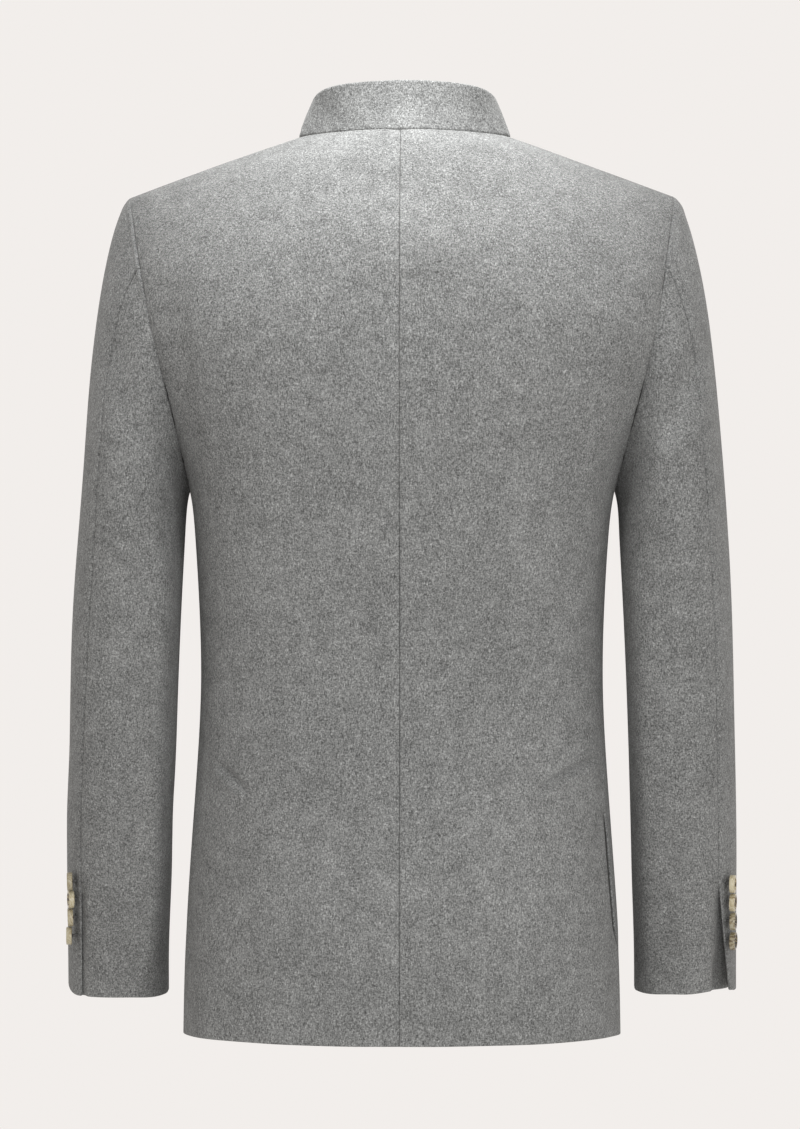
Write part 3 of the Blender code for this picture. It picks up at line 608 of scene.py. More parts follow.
def finish_front(sheet, side):
    x, z, f = sheet.x, sheet.z, 1.0 if side == "right" else -1.0
    at_edge = along_edge(sheet, -1)
    if side == "right":
        inside = smooth((LAP_START - x) / (LAP_START - LAP_FULL))
        sheet.drape -= LAP_STEP * inside
    if VENT_TOP[side] == "back":        # the front steps in under the back's vent edge
        sheet.drape -= VENT_STEP * sheet.vent * smooth((9.0 - sheet.to_edge) / 9.0)
    sheet.seam(sheet.last, 1.0 - sheet.vent)
    sheet.sewn = {"last": 1.0 - sheet.vent[:, -1], "high": smooth((np.abs(x[-1]) - 20.0) / 6.0)}
    sheet.seam(sheet.high, smooth((np.abs(x) - 3.0) / 6.0))
    sheet.free(sheet.high, CLOTH, 1.0 - smooth((np.abs(x) - 3.0) / 6.0))
    sheet.free(sheet.first, CLOTH)
    sheet.free(sheet.low, CLOTH)
    sheet.free(sheet.last, CLOTH, sheet.vent)
    arm = smooth((sheet.level - 1.0) / 0.06) * smooth((2.03 - sheet.level) / 0.06)
    sheet.outer += arm * bump((sheet.last - 5.0) / 8.0) * ripple(
        at_edge, (0.24, 14.0, 1.2 * f), (0.16, 22.0, 2.4), (0.12, 9.1, 0.7 * f))
    # chest fullness, armhole hollows and a few soft drags towards the buttons
    sheet.drape += 1.8 * bump((np.abs(x) - 92.0) / 58.0) * bump((z + 190.0) / 80.0)
    sheet.drape += crease(x, z, [(f * 30.0, -431.0), (f * 66.0, -424.0), (f * 108.0, -408.0)],
                          1.0, 8.0, 0.5, f, 0.6)
    sheet.drape += crease(x, z, [(f * 34.0, -452.0), (f * 78.0, -462.0), (f * 118.0, -481.0)],
                          0.9, 9.0, 0.5, f, 0.6)
    sheet.drape += crease(x, z, [(f * 112.0, -522.0), (f * 128.0, -513.0), (f * 148.0, -505.0)],
                          1.2, 4.6, 0.8, -f, 0.5)
    sheet.drape += hem_waves(sheet, 1.7 - 0.8 * f) * smooth((np.abs(x) - 28.0) / 42.0)


# ============================================================= the sleeves
DOWNS = [0.0013, 0.004, 0.008, 0.014, 0.022, 0.034, 0.050, 0.070]
DOWNS += list(np.linspace(0.09, 1.0, 70))
CUFF_ROWS = [8.0, 5.0, 3.0, 1.8, 1.0, 0.5, 0.15, 0.0]
DOWNS += list(1.0 + np.linspace(0.0, 1.0, 84)[1:-3])
DOWNS += [2.0 - d / (SLEEVE_JOIN_Z - CUFF_Z) for d in CUFF_ROWS]
CUFF_UNDER = 10.0          # the undersleeve runs on under the topsleeve at the vent
CUFF_STEP = 2.7
CUFF_SINK = {"left": 0.0, "right": 1.0}      # whether the undersleeve rolls in at the cuff
CUFF_BACK = {"left": 0.2, "right": 11.5}     # how far the topsleeve's edge draws back there
CUFF_FLARE = {"left": 0.0, "right": 2.6}     # and stands off


def cuff_ramp(z):
    return np.clip((CUFF_VENT_Z - z) / (CUFF_VENT_Z - CUFF_Z), 0.0, 1.0)


def sleeve_sheet(name, top, side):
    inner = 54
    rows, gaps = [], []
    for down in DOWNS:
        elbow = float(np.interp(down, *zip(*ELBOW_SEAM[side])))
        z = SLEEVE_JOIN_Z + (CUFF_Z - SLEEVE_JOIN_Z) * (down - 1.0)
        vent = float(smooth((CUFF_VENT_Z - z) / 20.0)) if down > 1 else 0.0
        ramp = float(cuff_ramp(z)) if down > 1 else 0.0
        lo, hi = (FORE_SEAM, 360.0 + elbow) if top else (elbow, FORE_SEAM)
        reach = 46.0
        angles = np.linspace(lo - reach, hi + reach, 401)
        pts = sleeve_point(down, angles)
        run = run_of(pts)
        at_lo, at_hi = np.interp([lo, hi], angles, run)
        if top:
            a, b = at_lo + HALF_GAP, at_hi - HALF_GAP - CUFF_BACK[side] * ramp
        else:
            a, b = at_lo + HALF_GAP - CUFF_UNDER * vent - 1.6 * CUFF_BACK[side] * ramp, at_hi - HALF_GAP
        s = columns(a, b, inner)
        rows.append(sleeve_point(down, np.interp(s, run, angles)))
        gaps.append(s - at_lo if not top else at_hi - s)
    grid = np.array(rows)
    if side == "left":
        grid = grid * np.array([-1.0, 1.0, 1.0])
    sheet = Sheet(name, grid, sleeve_axis)
    sheet.vent = smooth((CUFF_VENT_Z - sheet.z) / 20.0) * (np.array(DOWNS)[:, None] > 1.0)
    sheet.to_vent = np.array(gaps)       # from the hind-arm seam's line
    return sheet


def finish_sleeve(sheet, top, side):
    x, y, z, f = sheet.x, sheet.y, sheet.z, 1.0 if side == "right" else -1.0
    vent_edge, fore_edge = (sheet.last, sheet.first) if top else (sheet.first, sheet.last)
    sheet.seam(vent_edge, 1.0 - sheet.vent)
    sheet.free(vent_edge, CLOTH, sheet.vent)
    sheet.seam(fore_edge)
    sheet.free(sheet.high, CLOTH)                       # the cuff's edge
    high = smooth((z + 165.0) / 60.0)
    sheet.seam(sheet.low, 0.3 + 0.7 * high * (y > 0), deep=1.4)      # the armhole
    edge, fore = ("last", "first") if top else ("first", "last")
    sheet.sewn = {"low": 1.0, fore: 1.0, edge: 1.0 - sheet.edge(edge, sheet.vent)}
    arm = np.broadcast_to(sheet.first[:1], x.shape)
    sheet.outer += bump((sheet.low - 5.0) / 9.0) * ripple(
        arm, (0.30, 12.3, 0.5 * f), (0.22, 19.0, 1.4), (0.14, 8.1, 2.2 * f))
    # behind the shoulder the seam's allowance lifts the sleeve into a ridge
    high = high * smooth((-54.0 - z) / 14.0) * (y < 0)
    sheet.outer += high * 1.7 * bump((sheet.low - 2.0) / 1.7)
    sheet.drape += high * (0.4 if side == "left" else 1.3) * bump((sheet.low - 8.0) / 7.0)
    # the hind-arm seam has fine puckers too
    s = along_edge(sheet, -1 if top else 0)
    sheet.outer += (1 - sheet.vent) * bump((vent_edge - 4.0) / 6.0) * ripple(
        s, (0.16, 18.0, 0.3), (0.12, 11.0, 1.2 * f))
    # soft drags at the inside of the elbow and above the cuff
    inner_side = smooth((y - 5.0) / 40.0)
    sheet.drape += inner_side * crease(y, z, [(-30.0, -455.0), (20.0, -446.0), (70.0, -430.0)], 1.5, 10.0, 0.8, 1.0, 0.5)
    sheet.drape += inner_side * crease(y, z, [(-20.0, -492.0), (30.0, -497.0), (75.0, -508.0)], 1.3, 11.0, 0.7, -1.0, 0.5)
    sheet.drape += 0.8 * np.sin(z / 47.0 + f) * bump((np.abs(x) - 226.0) / 26.0) * smooth((-300.0 - z) / 80.0) * smooth((z + 690.0) / 60.0)
    ramp = cuff_ramp(z)
    if not top:
        inward = (RING[0](z) - np.abs(x)) / RING[2](z)
        full = smooth((RING[1](z) - y) / 20.0) * smooth((-318.0 - z) / 50.0)
        sheet.drape += 4.0 * bump((inward - 0.74) / 0.27) * full
        sheet.shift[..., 1] -= (7.0 if side == "left" else 4.0) * bump((inward - 0.80) / 0.24) * full * smooth((z + 690.0) / 60.0)
        t = sheet.to_vent
        sheet.drape -= CUFF_STEP * sheet.vent * smooth((9.0 - t) / 9.0)
        low = smooth((-652.0 - z) / 34.0)       # a soft roll above, a fold at the corner
        sink = CUFF_SINK[side] * ramp * ((1 - low) * 18.0 * smooth((1.5 - t) / 4.0)
                                         + low * 27.0 * smooth((7.5 - t) / 5.5))
        sheet.shift[..., 1] += sink
        sheet.shift[..., 2] -= 0.13 * sink
        if side == "right":
            sheet.shift[..., 2] += 2.6 * smooth((30.0 - t) / 30.0) * smooth((-660.0 - z) / 38.0)
    else:
        sheet.drape += CUFF_FLARE[side] * ramp * smooth((18.0 - sheet.last) / 18.0)
        near = np.clip(1 - sheet.last / 2.0, 0, 1)
        lift = 1.2 * (1 - np.sqrt(np.maximum(0, 1 - near ** 2)))
        sheet.shift[..., 2] += lift * np.clip(1 - sheet.high / 30.0, 0, 1) * sheet.vent
        if side == "right":
            sheet.shift[..., 2] += 2.2 * smooth((22.0 - sheet.last) / 22.0) * smooth((-650.0 - z) / 44.0)


# ============================================================== the collar
COLLAR_ROWS = [0.004, 0.012, 0.025, 0.045, 0.075, 0.12] + list(np.linspace(0.18, 0.90, 17)) + [0.94, 0.965, 0.982, 0.992, 0.998, 1.0]
COLLAR_ROUND = 11.0        # its front corners are rounded


def collar_sheet(name):
    near = np.array([0.0, 0.12, 0.4, 0.9, 1.6, 2.6, 4.0, 6.0, 8.5]) / 130.0
    front = np.concatenate([0.0135 + near, np.linspace(0.0135 + near[-1], 1.0, 60)[1:]])
    backs = np.linspace(1.0, 0.0, 62)[1:]
    half = []
    for back, shares in ((False, front), (True, backs)):
        base, _, _ = row_at(3.0, back, lambda full: shares * full)
        top = collar_top(shares, back)
        half.append(np.stack([base, top], axis=1))
    half = np.concatenate(half)
    half[0, :, 0] = COLLAR_END
    whole = np.concatenate([half, half[::-1][1:] * np.array([-1.0, 1.0, 1.0])])
    base, top = whole[:, 0], whole[:, 1]
    run = run_of(base)
    near_end = np.minimum(run, run[-1] - run)
    tall = np.linalg.norm(top - base, axis=1)
    cut = COLLAR_ROUND * (1 - np.sqrt(np.maximum(0, 1 - np.clip(1 - near_end / COLLAR_ROUND, 0, 1) ** 2)))
    share = (1 - cut / tall)[None, :, None]
    v = np.array(COLLAR_ROWS)[:, None, None]
    grid = base[None] + (top - base)[None] * v * share
    sheet = Sheet(name, grid, neck_axis)
    below = []
    for back, shares in ((False, front), (True, backs)):
        below.append(row_at(2.96, back, lambda full: shares * full)[0])
    below = np.concatenate(below)
    below = np.concatenate([below, below[::-1][1:] * np.array([-1.0, 1.0, 1.0])])
    along = unit(np.gradient(base, axis=0))
    rise = base - below
    rise = unit(rise - np.sum(rise * along, axis=1)[:, None] * along)
    out = unit(np.cross(along, rise))
    sheet.neck = base, rise, np.where(out[:, 2:] < 0, -out, out)
    return sheet


def finish_collar(sheet):
    s = sheet.first
    share = sheet.low / (sheet.low + sheet.high + 1e-9)
    behind = smooth((-sheet.y - 4.0) / 34.0)
    sheet.drape += (0.9 - 2.3 * behind) * np.sin(np.pi * share)
    sheet.seam(sheet.low, deep=1.3 - 0.85 * behind, wide=2.6 - 1.2 * behind)
    sheet.outer += bump((sheet.low - 4.5) / 6.0) * ripple(s, (0.22, 14.0, 0.3), (0.15, 23.0, 1.0), (0.10, 9.0, 2.0))
    sheet.free(sheet.high, COLLAR_CLOTH)
    sheet.free(sheet.first, COLLAR_CLOTH)
    sheet.free(sheet.last, COLLAR_CLOTH)
    sheet.drape += 0.5 * ripple(s, (0.7, 96.0, 0.5), (0.5, 61.0, 2.2)) * smooth(sheet.low / 20.0)
    sheet.shift[..., 1] += 3.0 * share * bump(sheet.x / 62.0) * (sheet.y < 0)
    sheet.shift[..., 2] += 3.2 * share * bump(sheet.x / 80.0) * behind
    sheet.sewn = {"low": smooth((sheet.y[0] + 8.0) / 20.0)}


COLLAR_TURNIN = 4.0        # the collar's lower edge lies this far down inside the neck


def turn_in(sheet):
    """Two rows more at the collar's foot, set in behind the body's neck edge."""
    base, rise, out = sheet.neck
    f = smooth((12.0 - base[:, 1]) / 20.0)[:, None]
    inner = base + 0.05 * rise - (0.03 + 2.5 * f) * out
    foot = inner - (0.06 + COLLAR_TURNIN * f) * rise - 0.25 * f * out
    way = unit(out * f + sheet.rim[0] * (1 - f))
    thick = (1.2 * f[:, 0] + COLLAR_CLOTH * (1 - f[:, 0])) / COLLAR_CLOTH
    two = lambda a, b, grid: np.concatenate([a[None], b[None], grid])
    zero = np.zeros(len(base))
    sheet.close.pop("low", None)
    sheet.p, sheet.n = two(foot, inner, sheet.p), two(way, way, sheet.n)
    sheet.rim, sheet.deep = two(way, way, sheet.rim), two(thick, thick, sheet.deep)
    for key in ("drape", "outer", "inner"):
        setattr(sheet, key, two(zero, zero, getattr(sheet, key)))
    sheet.shift = two(0 * base, 0 * base, sheet.shift)


# =============================================================== materials
def new_material(name):
    mat = bpy.data.materials.new(name)
    mat.use_nodes = True
    return mat, mat.node_tree, mat.node_tree.nodes["Principled BSDF"]


def add_node(tree, kind, links=None, **values):
    """A node with its settings, socket values and links by name."""
    made = tree.nodes.new(kind)
    for key, value in values.items():
        if hasattr(made, key):
            setattr(made, key, value)
        else:
            made.inputs[key.replace("_", " ")].default_value = value
    for key, source in (links or {}).items():
        tree.links.new(source, made.inputs[key])
    return made


def math_node(tree, what, a, b):
    made = tree.nodes.new("ShaderNodeMath")
    made.operation = what
    for k, v in enumerate((a, b)):
        if isinstance(v, (int, float)):
            made.inputs[k].default_value = v
        else:
            tree.links.new(v, made.inputs[k])
    return made.outputs[0]


def ramp_node(tree, source, stops):
    made = tree.nodes.new("ShaderNodeValToRGB")
    tree.links.new(source, made.inputs[0])
    while len(made.color_ramp.elements) < len(stops):
        made.color_ramp.elements.new(0.5)
    for e, (at, colour) in zip(made.color_ramp.elements, stops):
        e.position, e.color = at, (*colour, 1.0)
    return made.outputs["Color"]


def loden_material(name, tone=1.0):
    """Grey melange loden: pale and dark fibres felted together, with a short laid nap."""
    mat, tree, shader = new_material(name)
    where = add_node(tree, "ShaderNodeTexCoord").outputs["Object"]

    def noise(scale, detail, rough, stretch=(1, 1, 1), turn=(0, 0, 0), warp=0.0):
        m = add_node(tree, "ShaderNodeMapping", {"Vector": where})
        m.inputs["Scale"].default_value = stretch
        m.inputs["Rotation"].default_value = turn
        n = add_node(tree, "ShaderNodeTexNoise", {"Vector": m.outputs[0]})
        n.inputs["Scale"].default_value = scale
        n.inputs["Detail"].default_value = detail
        n.inputs["Roughness"].default_value = rough
        n.inputs["Distortion"].default_value = warp
        return math_node(tree, "SUBTRACT", n.outputs["Fac"], 0.5)

    grain = noise(760.0, 2.0, 0.62)
    fibre_a = noise(1500.0, 1.5, 0.5, (1, 1, 0.24), (0, 0.42, 0), 0.7)
    fibre_b = noise(1350.0, 1.5, 0.5, (1, 1, 0.26), (0, -0.75, 0), 0.7)
    fibre_c = noise(1200.0, 1.0, 0.5, (0.3, 0.3, 1), (0, 0.12, 0), 0.5)
    cloud = noise(70.0, 3.0, 0.55)
    broad = noise(14.0, 2.0, 0.5)
    mix = math_node(tree, "MULTIPLY", grain, 1.25)
    for part, weight in ((fibre_a, 0.75), (fibre_b, 0.65), (fibre_c, 0.45), (cloud, 0.30), (broad, 0.16)):
        mix = math_node(tree, "ADD", mix, math_node(tree, "MULTIPLY", part, weight))
    value = math_node(tree, "ADD", mix, 0.5)
    stops = [(0.02, 0.050), (0.30, 0.124), (0.50, 0.198), (0.70, 0.290), (0.98, 0.460)]
    stops = [(at, (v, 1.024 * v, 1.016 * v)) for at, v in stops]
    colour = ramp_node(tree, value, [(at, tuple(c * tone for c in rgb)) for at, rgb in stops])
    tree.links.new(colour, shader.inputs["Base Color"])
    height = math_node(tree, "ADD", mix, math_node(tree, "MULTIPLY", grain, 0.6))
    relief = add_node(tree, "ShaderNodeBump", {"Height": height})
    relief.inputs["Strength"].default_value = 0.35
    relief.inputs["Distance"].default_value = 0.0006
    tree.links.new(relief.outputs[0], shader.inputs["Normal"])
    shader.inputs["Roughness"].default_value = 0.96
    shader.inputs["Specular IOR Level"].default_value = 0.12
    shader.inputs["Sheen Weight"].default_value = 0.10
    shader.inputs["Sheen Roughness"].default_value = 0.55
    shader.inputs["Sheen Tint"].default_value = (0.85, 0.85, 0.84, 1.0)
    return mat


def horn_material(name, seed, brown, radius, tone):
    """Polished horn: a tan face streaked and clouded with brown; the rim is painted paler and the face darker,
    partly the horn's own tone, partly painted light on the rim and painted shade on the face.
    """
    mat, tree, shader = new_material(name)
    where = add_node(tree, "ShaderNodeTexCoord").outputs["Object"]
    m = add_node(tree, "ShaderNodeMapping", {"Vector": where})
    m.inputs["Location"].default_value = (seed * 0.37, seed * 0.11, seed * 0.53)
    m.inputs["Rotation"].default_value = (0.3 * seed, 0.2, 0.7 * seed)
    m.inputs["Scale"].default_value = (1.0, 0.45, 1.0)
    cloud = add_node(tree, "ShaderNodeTexNoise", {"Vector": m.outputs[0]})
    cloud.inputs["Scale"].default_value = 170.0
    cloud.inputs["Detail"].default_value = 4.0
    cloud.inputs["Distortion"].default_value = 1.2
    streak = add_node(tree, "ShaderNodeTexWave", {"Vector": m.outputs[0]})
    streak.inputs["Scale"].default_value = 210.0
    streak.inputs["Distortion"].default_value = 9.0
    streak.inputs["Detail"].default_value = 3.0
    streak.inputs["Detail Scale"].default_value = 1.4
    value = math_node(tree, "ADD", math_node(tree, "MULTIPLY", cloud.outputs["Fac"], 0.75),
                      math_node(tree, "MULTIPLY", streak.outputs["Fac"], 0.28))
    # painted light and shade: by distance from the button's axis the rim's colour is lifted (painted highlight) and
    # the face's lowered (painted shade), over the horn's own tone
    flat = add_node(tree, "ShaderNodeVectorMath", {"Vector": where}, operation="MULTIPLY")
    flat.inputs[1].default_value = (1.0, 1.0, 0.0)
    far = add_node(tree, "ShaderNodeVectorMath", {"Vector": flat.outputs[0]}, operation="LENGTH")
    edge = add_node(tree, "ShaderNodeMapRange", {"Value": far.outputs["Value"]}, interpolation_type="SMOOTHSTEP")
    edge.inputs["From Min"].default_value = 0.88 * radius * MM
    edge.inputs["From Max"].default_value = 0.985 * radius * MM
    edge.inputs["To Min"].default_value = -0.10
    edge.inputs["To Max"].default_value = 0.15
    value = math_node(tree, "ADD", value, edge.outputs["Result"])
    b = brown
    stops = [(0.28 + b, (0.030, 0.020, 0.008)), (0.38 + b, (0.125, 0.085, 0.038)), (0.48 + b, (0.260, 0.205, 0.115)),
             (0.60 + b, (0.370, 0.325, 0.205)), (0.80, (0.430, 0.395, 0.285))]
    colour = ramp_node(tree, value, [(at, tuple(c * tone for c in rgb)) for at, rgb in stops])
    tree.links.new(colour, shader.inputs["Base Color"])
    gloss = ramp_node(tree, value, [(0.35, (0.24, 0.24, 0.24)), (0.75, (0.36, 0.36, 0.36))])
    tree.links.new(gloss, shader.inputs["Roughness"])
    relief = add_node(tree, "ShaderNodeBump", {"Height": streak.outputs["Fac"]})
    relief.inputs["Strength"].default_value = 0.08
    relief.inputs["Distance"].default_value = 0.0002
    tree.links.new(relief.outputs[0], shader.inputs["Normal"])
    shader.inputs["Subsurface Weight"].default_value = 0.0
    shader.inputs["Coat Weight"].default_value = 0.25
    shader.inputs["Coat Roughness"].default_value = 0.15
    return mat


def thread_material(name):
    mat, tree, shader = new_material(name)
    where = add_node(tree, "ShaderNodeTexCoord").outputs["Object"]
    twist = add_node(tree, "ShaderNodeTexWave", {"Vector": where})
    twist.inputs["Scale"].default_value = 900.0
    twist.inputs["Distortion"].default_value = 1.5
    colour = ramp_node(tree, twist.outputs["Fac"], [(0.0, (0.040, 0.040, 0.040)), (1.0, (0.110, 0.110, 0.108))])
    tree.links.new(colour, shader.inputs["Base Color"])
    shader.inputs["Roughness"].default_value = 0.8
    return mat


LODEN = loden_material("loden", 0.78)
THREAD = thread_material("thread")

# =============================================================== cloth made
sheets = {}
for side in ("left", "right"):
    sheets["back_" + side] = body_sheet("back_" + side, True, side)
    finish_back(sheets["back_" + side], side)
    sheets["front_" + side] = body_sheet("front_" + side, False, side)
    finish_front(sheets["front_" + side], side)
    for top in (True, False):
        name = ("sleeve_top_" if top else "sleeve_under_") + side
        sheets[name] = sleeve_sheet(name, top, side)
        finish_sleeve(sheets[name], top, side)
sheets["collar"] = collar_sheet("collar")
finish_collar(sheets["collar"])
join_seams(list(sheets.values()))
turn_in(sheets["collar"])
made = {name: sheet.make(COLLAR_CLOTH if name == "collar" else CLOTH, LODEN) for name, sheet in sheets.items()}

# each piece's cloth takes its CAD part's place: the part is hidden and the cloth hangs on the root body
for name, obj in made.items():
    nodes = [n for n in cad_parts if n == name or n.startswith(name + "_")]
    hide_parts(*nodes)
    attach(obj, "root")


# ================================================================= buttons
def sleeve_normal(down, angle):
    a = sleeve_point(down, angle + 2.0) - sleeve_point(down, angle - 2.0)
    b = sleeve_point(down + 0.01, angle) - sleeve_point(down - 0.01, angle)
    n = unit(np.cross(a, b))
    return n if n[0] * math.cos(math.radians(angle)) > 0 else -n


def turned(profile, steps):
    """A lathe mesh from (radius, height) points that start and end on the axis."""
    bm = bmesh.new()
    rings = []
    for r, h in profile:
        if r < 1e-9:
            rings.append([bm.verts.new((0, 0, h))])
        else:
            rings.append([bm.verts.new((r * math.cos(2 * math.pi * k / steps),
                                        r * math.sin(2 * math.pi * k / steps), h)) for k in range(steps)])
    for a, b in zip(rings, rings[1:]):
        for k in range(steps):
            m = (k + 1) % steps
            loop = [a[k % len(a)], a[m % len(a)], b[m % len(b)], b[k % len(b)]]
            loop = list(dict.fromkeys(loop))
            if len(loop) > 2:
                bm.faces.new(loop)
    bmesh.ops.recalc_face_normals(bm, faces=bm.faces[:])
    return bm


def tube(bm, path, radius, sides=8):
    """A short round thread along points, closed at both ends."""
    path = [Vector(p) for p in path]
    rings = []
    for k, p in enumerate(path):
        d = (path[min(k + 1, len(path) - 1)] - path[max(k - 1, 0)]).normalized()
        u = d.orthogonal().normalized() if k == 0 else (u - d * u.dot(d)).normalized()
        v = d.cross(u)
        rings.append([bm.verts.new(p + (u * math.cos(a) + v * math.sin(a)) * radius)
                      for a in (2 * math.pi * j / sides for j in range(sides))])
    faces = []
    for a, b in zip(rings, rings[1:]):
        for j in range(sides):
            faces.append(bm.faces.new([a[j], a[(j + 1) % sides], b[(j + 1) % sides], b[j]]))
    faces.append(bm.faces.new(rings[0][::-1]))
    faces.append(bm.faces.new(rings[-1]))
    return faces


def button(name, size, where, normal, up, material, tilt=0.0, shank=None):
    """A horn button with a dished middle, a straight edge, four holes, sewn threads and a thread shank."""
    r, t = size["radius"] * MM, size["thick"] * MM
    profile = [(0.0, 0.70 * t), (0.50 * r, 0.70 * t), (0.62 * r, 0.73 * t), (0.68 * r, 0.80 * t),
               (0.73 * r, 0.93 * t), (0.79 * r, 0.995 * t), (0.90 * r, t), (0.955 * r, 0.985 * t),
               (0.985 * r, 0.95 * t), (r, 0.88 * t), (r, 0.14 * t), (0.985 * r, 0.06 * t),
               (0.95 * r, 0.0), (0.50 * r, 0.0), (0.0, 0.0)]
    bm = turned(profile, 48)
    mesh = bpy.data.meshes.new(name)
    bm.to_mesh(mesh)
    bm.free()
    mesh.materials.append(material)
    mesh.materials.append(THREAD)
    obj = bpy.data.objects.new(name + "_horn", mesh)
    bpy.context.scene.collection.objects.link(obj)
    drill = bmesh.new()
    spots = [(sx * size["spread"] * MM * 0.7071, sy * size["spread"] * MM * 0.7071)
             for sx in (-1, 1) for sy in (-1, 1)]
    for sx, sy in spots:
        bmesh.ops.create_cone(drill, cap_ends=True, segments=16, radius1=size["hole"] * MM * 0.8,
                              radius2=size["hole"] * MM * 0.8, depth=4 * t,
                              matrix=Matrix.Translation((sx, sy, 0.4 * t)))
    drill_mesh = bpy.data.meshes.new(name + "_drill")
    drill.to_mesh(drill_mesh)
    drill.free()
    tool = bpy.data.objects.new(name + "_drill", drill_mesh)
    bpy.context.scene.collection.objects.link(tool)
    cut = obj.modifiers.new("holes", "BOOLEAN")
    cut.operation, cut.solver, cut.object = "DIFFERENCE", "EXACT", tool
    bpy.context.view_layer.update()
    done = bpy.data.meshes.new_from_object(obj.evaluated_get(bpy.context.evaluated_depsgraph_get()))
    obj.modifiers.clear()
    bpy.data.objects.remove(tool, do_unlink=True)
    bm = bmesh.new()
    bm.from_mesh(done)
    for face in bm.faces:
        face.smooth = True
        face.material_index = 0
    sharp = math.radians(40.0)
    for e in bm.edges:
        e.smooth = not (len(e.link_faces) == 2 and e.calc_face_angle(0.0) > sharp)
    for sy in (-1, 1):      # two threads, each from hole to hole
        a = size["spread"] * MM * 0.7071
        path = [(x * a, sy * a, 0.70 * t + h * t) for x, h in
                ((-1.0, -0.45), (-1.0, -0.10), (-0.85, 0.08), (-0.4, 0.15), (0.4, 0.15), (0.85, 0.08), (1.0, -0.10), (1.0, -0.45))]
        for off in (-0.28, 0.28):
            for f in tube(bm, [(x, y + off * MM, z) for x, y, z in path], 0.26 * MM):
                f.material_index, f.smooth = 1, True
    z_axis = Vector(unit(np.asarray(normal, float)))
    x_axis = Vector(unit(np.cross(up, normal)))
    y_axis = z_axis.cross(x_axis)
    turn = (Matrix((x_axis, y_axis, z_axis)).transposed().to_4x4()
            @ Matrix.Rotation(math.radians(tilt), 4, "X"))
    if shank is not None:
        way = turn.to_3x3().inverted() @ Vector(np.asarray(shank) * MM)
        for f in tube(bm, [-0.002 * MM * way.normalized() + way * k for k in (0.02, 0.35, 0.65, 1.0)], 1.1 * MM, 12):
            f.material_index, f.smooth = 1, True
    bm.to_mesh(done)
    bm.free()
    obj.data = done
    done.name = name
    obj.matrix_world = Matrix.Translation(Vector(np.asarray(where) * MM)) @ turn
    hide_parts(name)
    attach(obj, "root")
    return obj


BUTTON_SET = [
    # further turn round the sleeve and lean, tip, stand-off, brownness and tone of each cuff button, top to bottom
    {"left": (4.0, 4.5, 0.5, 0.4, 0.02, 0.72), "right": (4.5, 5.0, -0.6, 1.0, -0.08, 1.06)},
    {"left": (4.0, -3.0, -0.8, 0.4, -0.06, 1.0), "right": (4.5, 4.0, 0.8, 1.0, -0.02, 1.0)},
    {"left": (4.0, 4.0, 0.6, 0.4, 0.02, 0.86), "right": (4.5, 5.0, -0.5, 0.9, 0.06, 0.70)},
    {"left": (4.0, 6.5, -1.0, 1.6, -0.03, 0.92), "right": (4.5, 3.0, 0.7, 0.9, 0.10, 0.66)},
]
for side, flip in (("left", -1.0), ("right", 1.0)):
    mirror = np.array([flip, 1.0, 1.0])
    for k, z in enumerate(CUFF_BUTTON_Z[side]):
        down = 1.0 + (SLEEVE_JOIN_Z - z) / (SLEEVE_JOIN_Z - CUFF_Z)
        round_by, more, tip, off, brown, tone = BUTTON_SET[k][side]
        lean = math.radians(CUFF_BUTTON_LEAN[side] + more)
        n = sleeve_normal(down, CUFF_BUTTON_ANGLE[side] + round_by)
        flare = 0.95 * CUFF_FLARE[side] * float(cuff_ramp(z))
        off += flare + BUTTON_LIFT + 0.85 * CUFF_BUTTON["radius"] * math.sin(lean)
        p = sleeve_point(down, CUFF_BUTTON_ANGLE[side] + round_by) * mirror
        p = p + settle(p) + n * mirror * off
        face = np.array([n[0] * math.cos(lean) - n[1] * math.sin(lean),
                         n[0] * math.sin(lean) + n[1] * math.cos(lean), 0.15 * n[2]])
        horn = horn_material(f"horn_{side}_{k + 1}", 1.0 + k + (7 if side == "right" else 0), brown,
                             CUFF_BUTTON["radius"], tone)
        button(f"cuff_button_{side}_{k + 1}", CUFF_BUTTON, p, face * mirror,
               np.array([0.0, 0.0, 1.0]), horn, tip, -n * mirror * (off - flare - 0.3))
for k, z in enumerate(FRONT_BUTTON_Z):
    slope = float(body_depth(0.0, z + 3.0, False) - body_depth(0.0, z - 3.0, False))
    rise = unit(np.array([0.0, slope, 6.0]))
    n = np.array([0.0, rise[2], -rise[1]])
    p = np.array([0.0, float(body_depth(0.0, z, False)), z])
    horn = horn_material(f"horn_front_{k + 1}", 20.0 + 1.7 * k, -0.03 + 0.02 * (k % 3), FRONT_BUTTON["radius"], 0.95)
    button(f"front_button_{k + 1}", FRONT_BUTTON, p + n * (BUTTON_LIFT + 0.3), n, rise, horn,
           1.5 * (-1) ** k, -n * (BUTTON_LIFT + 0.05))


def outer_face(sheet):
    base = sheet.p + sheet.shift + settle(sheet.p) + sheet.n * sheet.drape[..., None]
    return base + sheet.rim * sheet.outer[..., None]


def on_cloth(sheet, face, x, z, lift):
    """The point of a sheet's outer face at x and z, raised along its normal."""
    near = np.unravel_index(np.argmin((face[..., 0] - x) ** 2 + (face[..., 2] - z) ** 2), face.shape[:2])
    n, q = sheet.n[near], face[near]
    y = q[1] - (n[0] * (x - q[0]) + n[2] * (z - q[2])) / n[1]
    return (np.array([x, y, z]) + n * lift) * MM


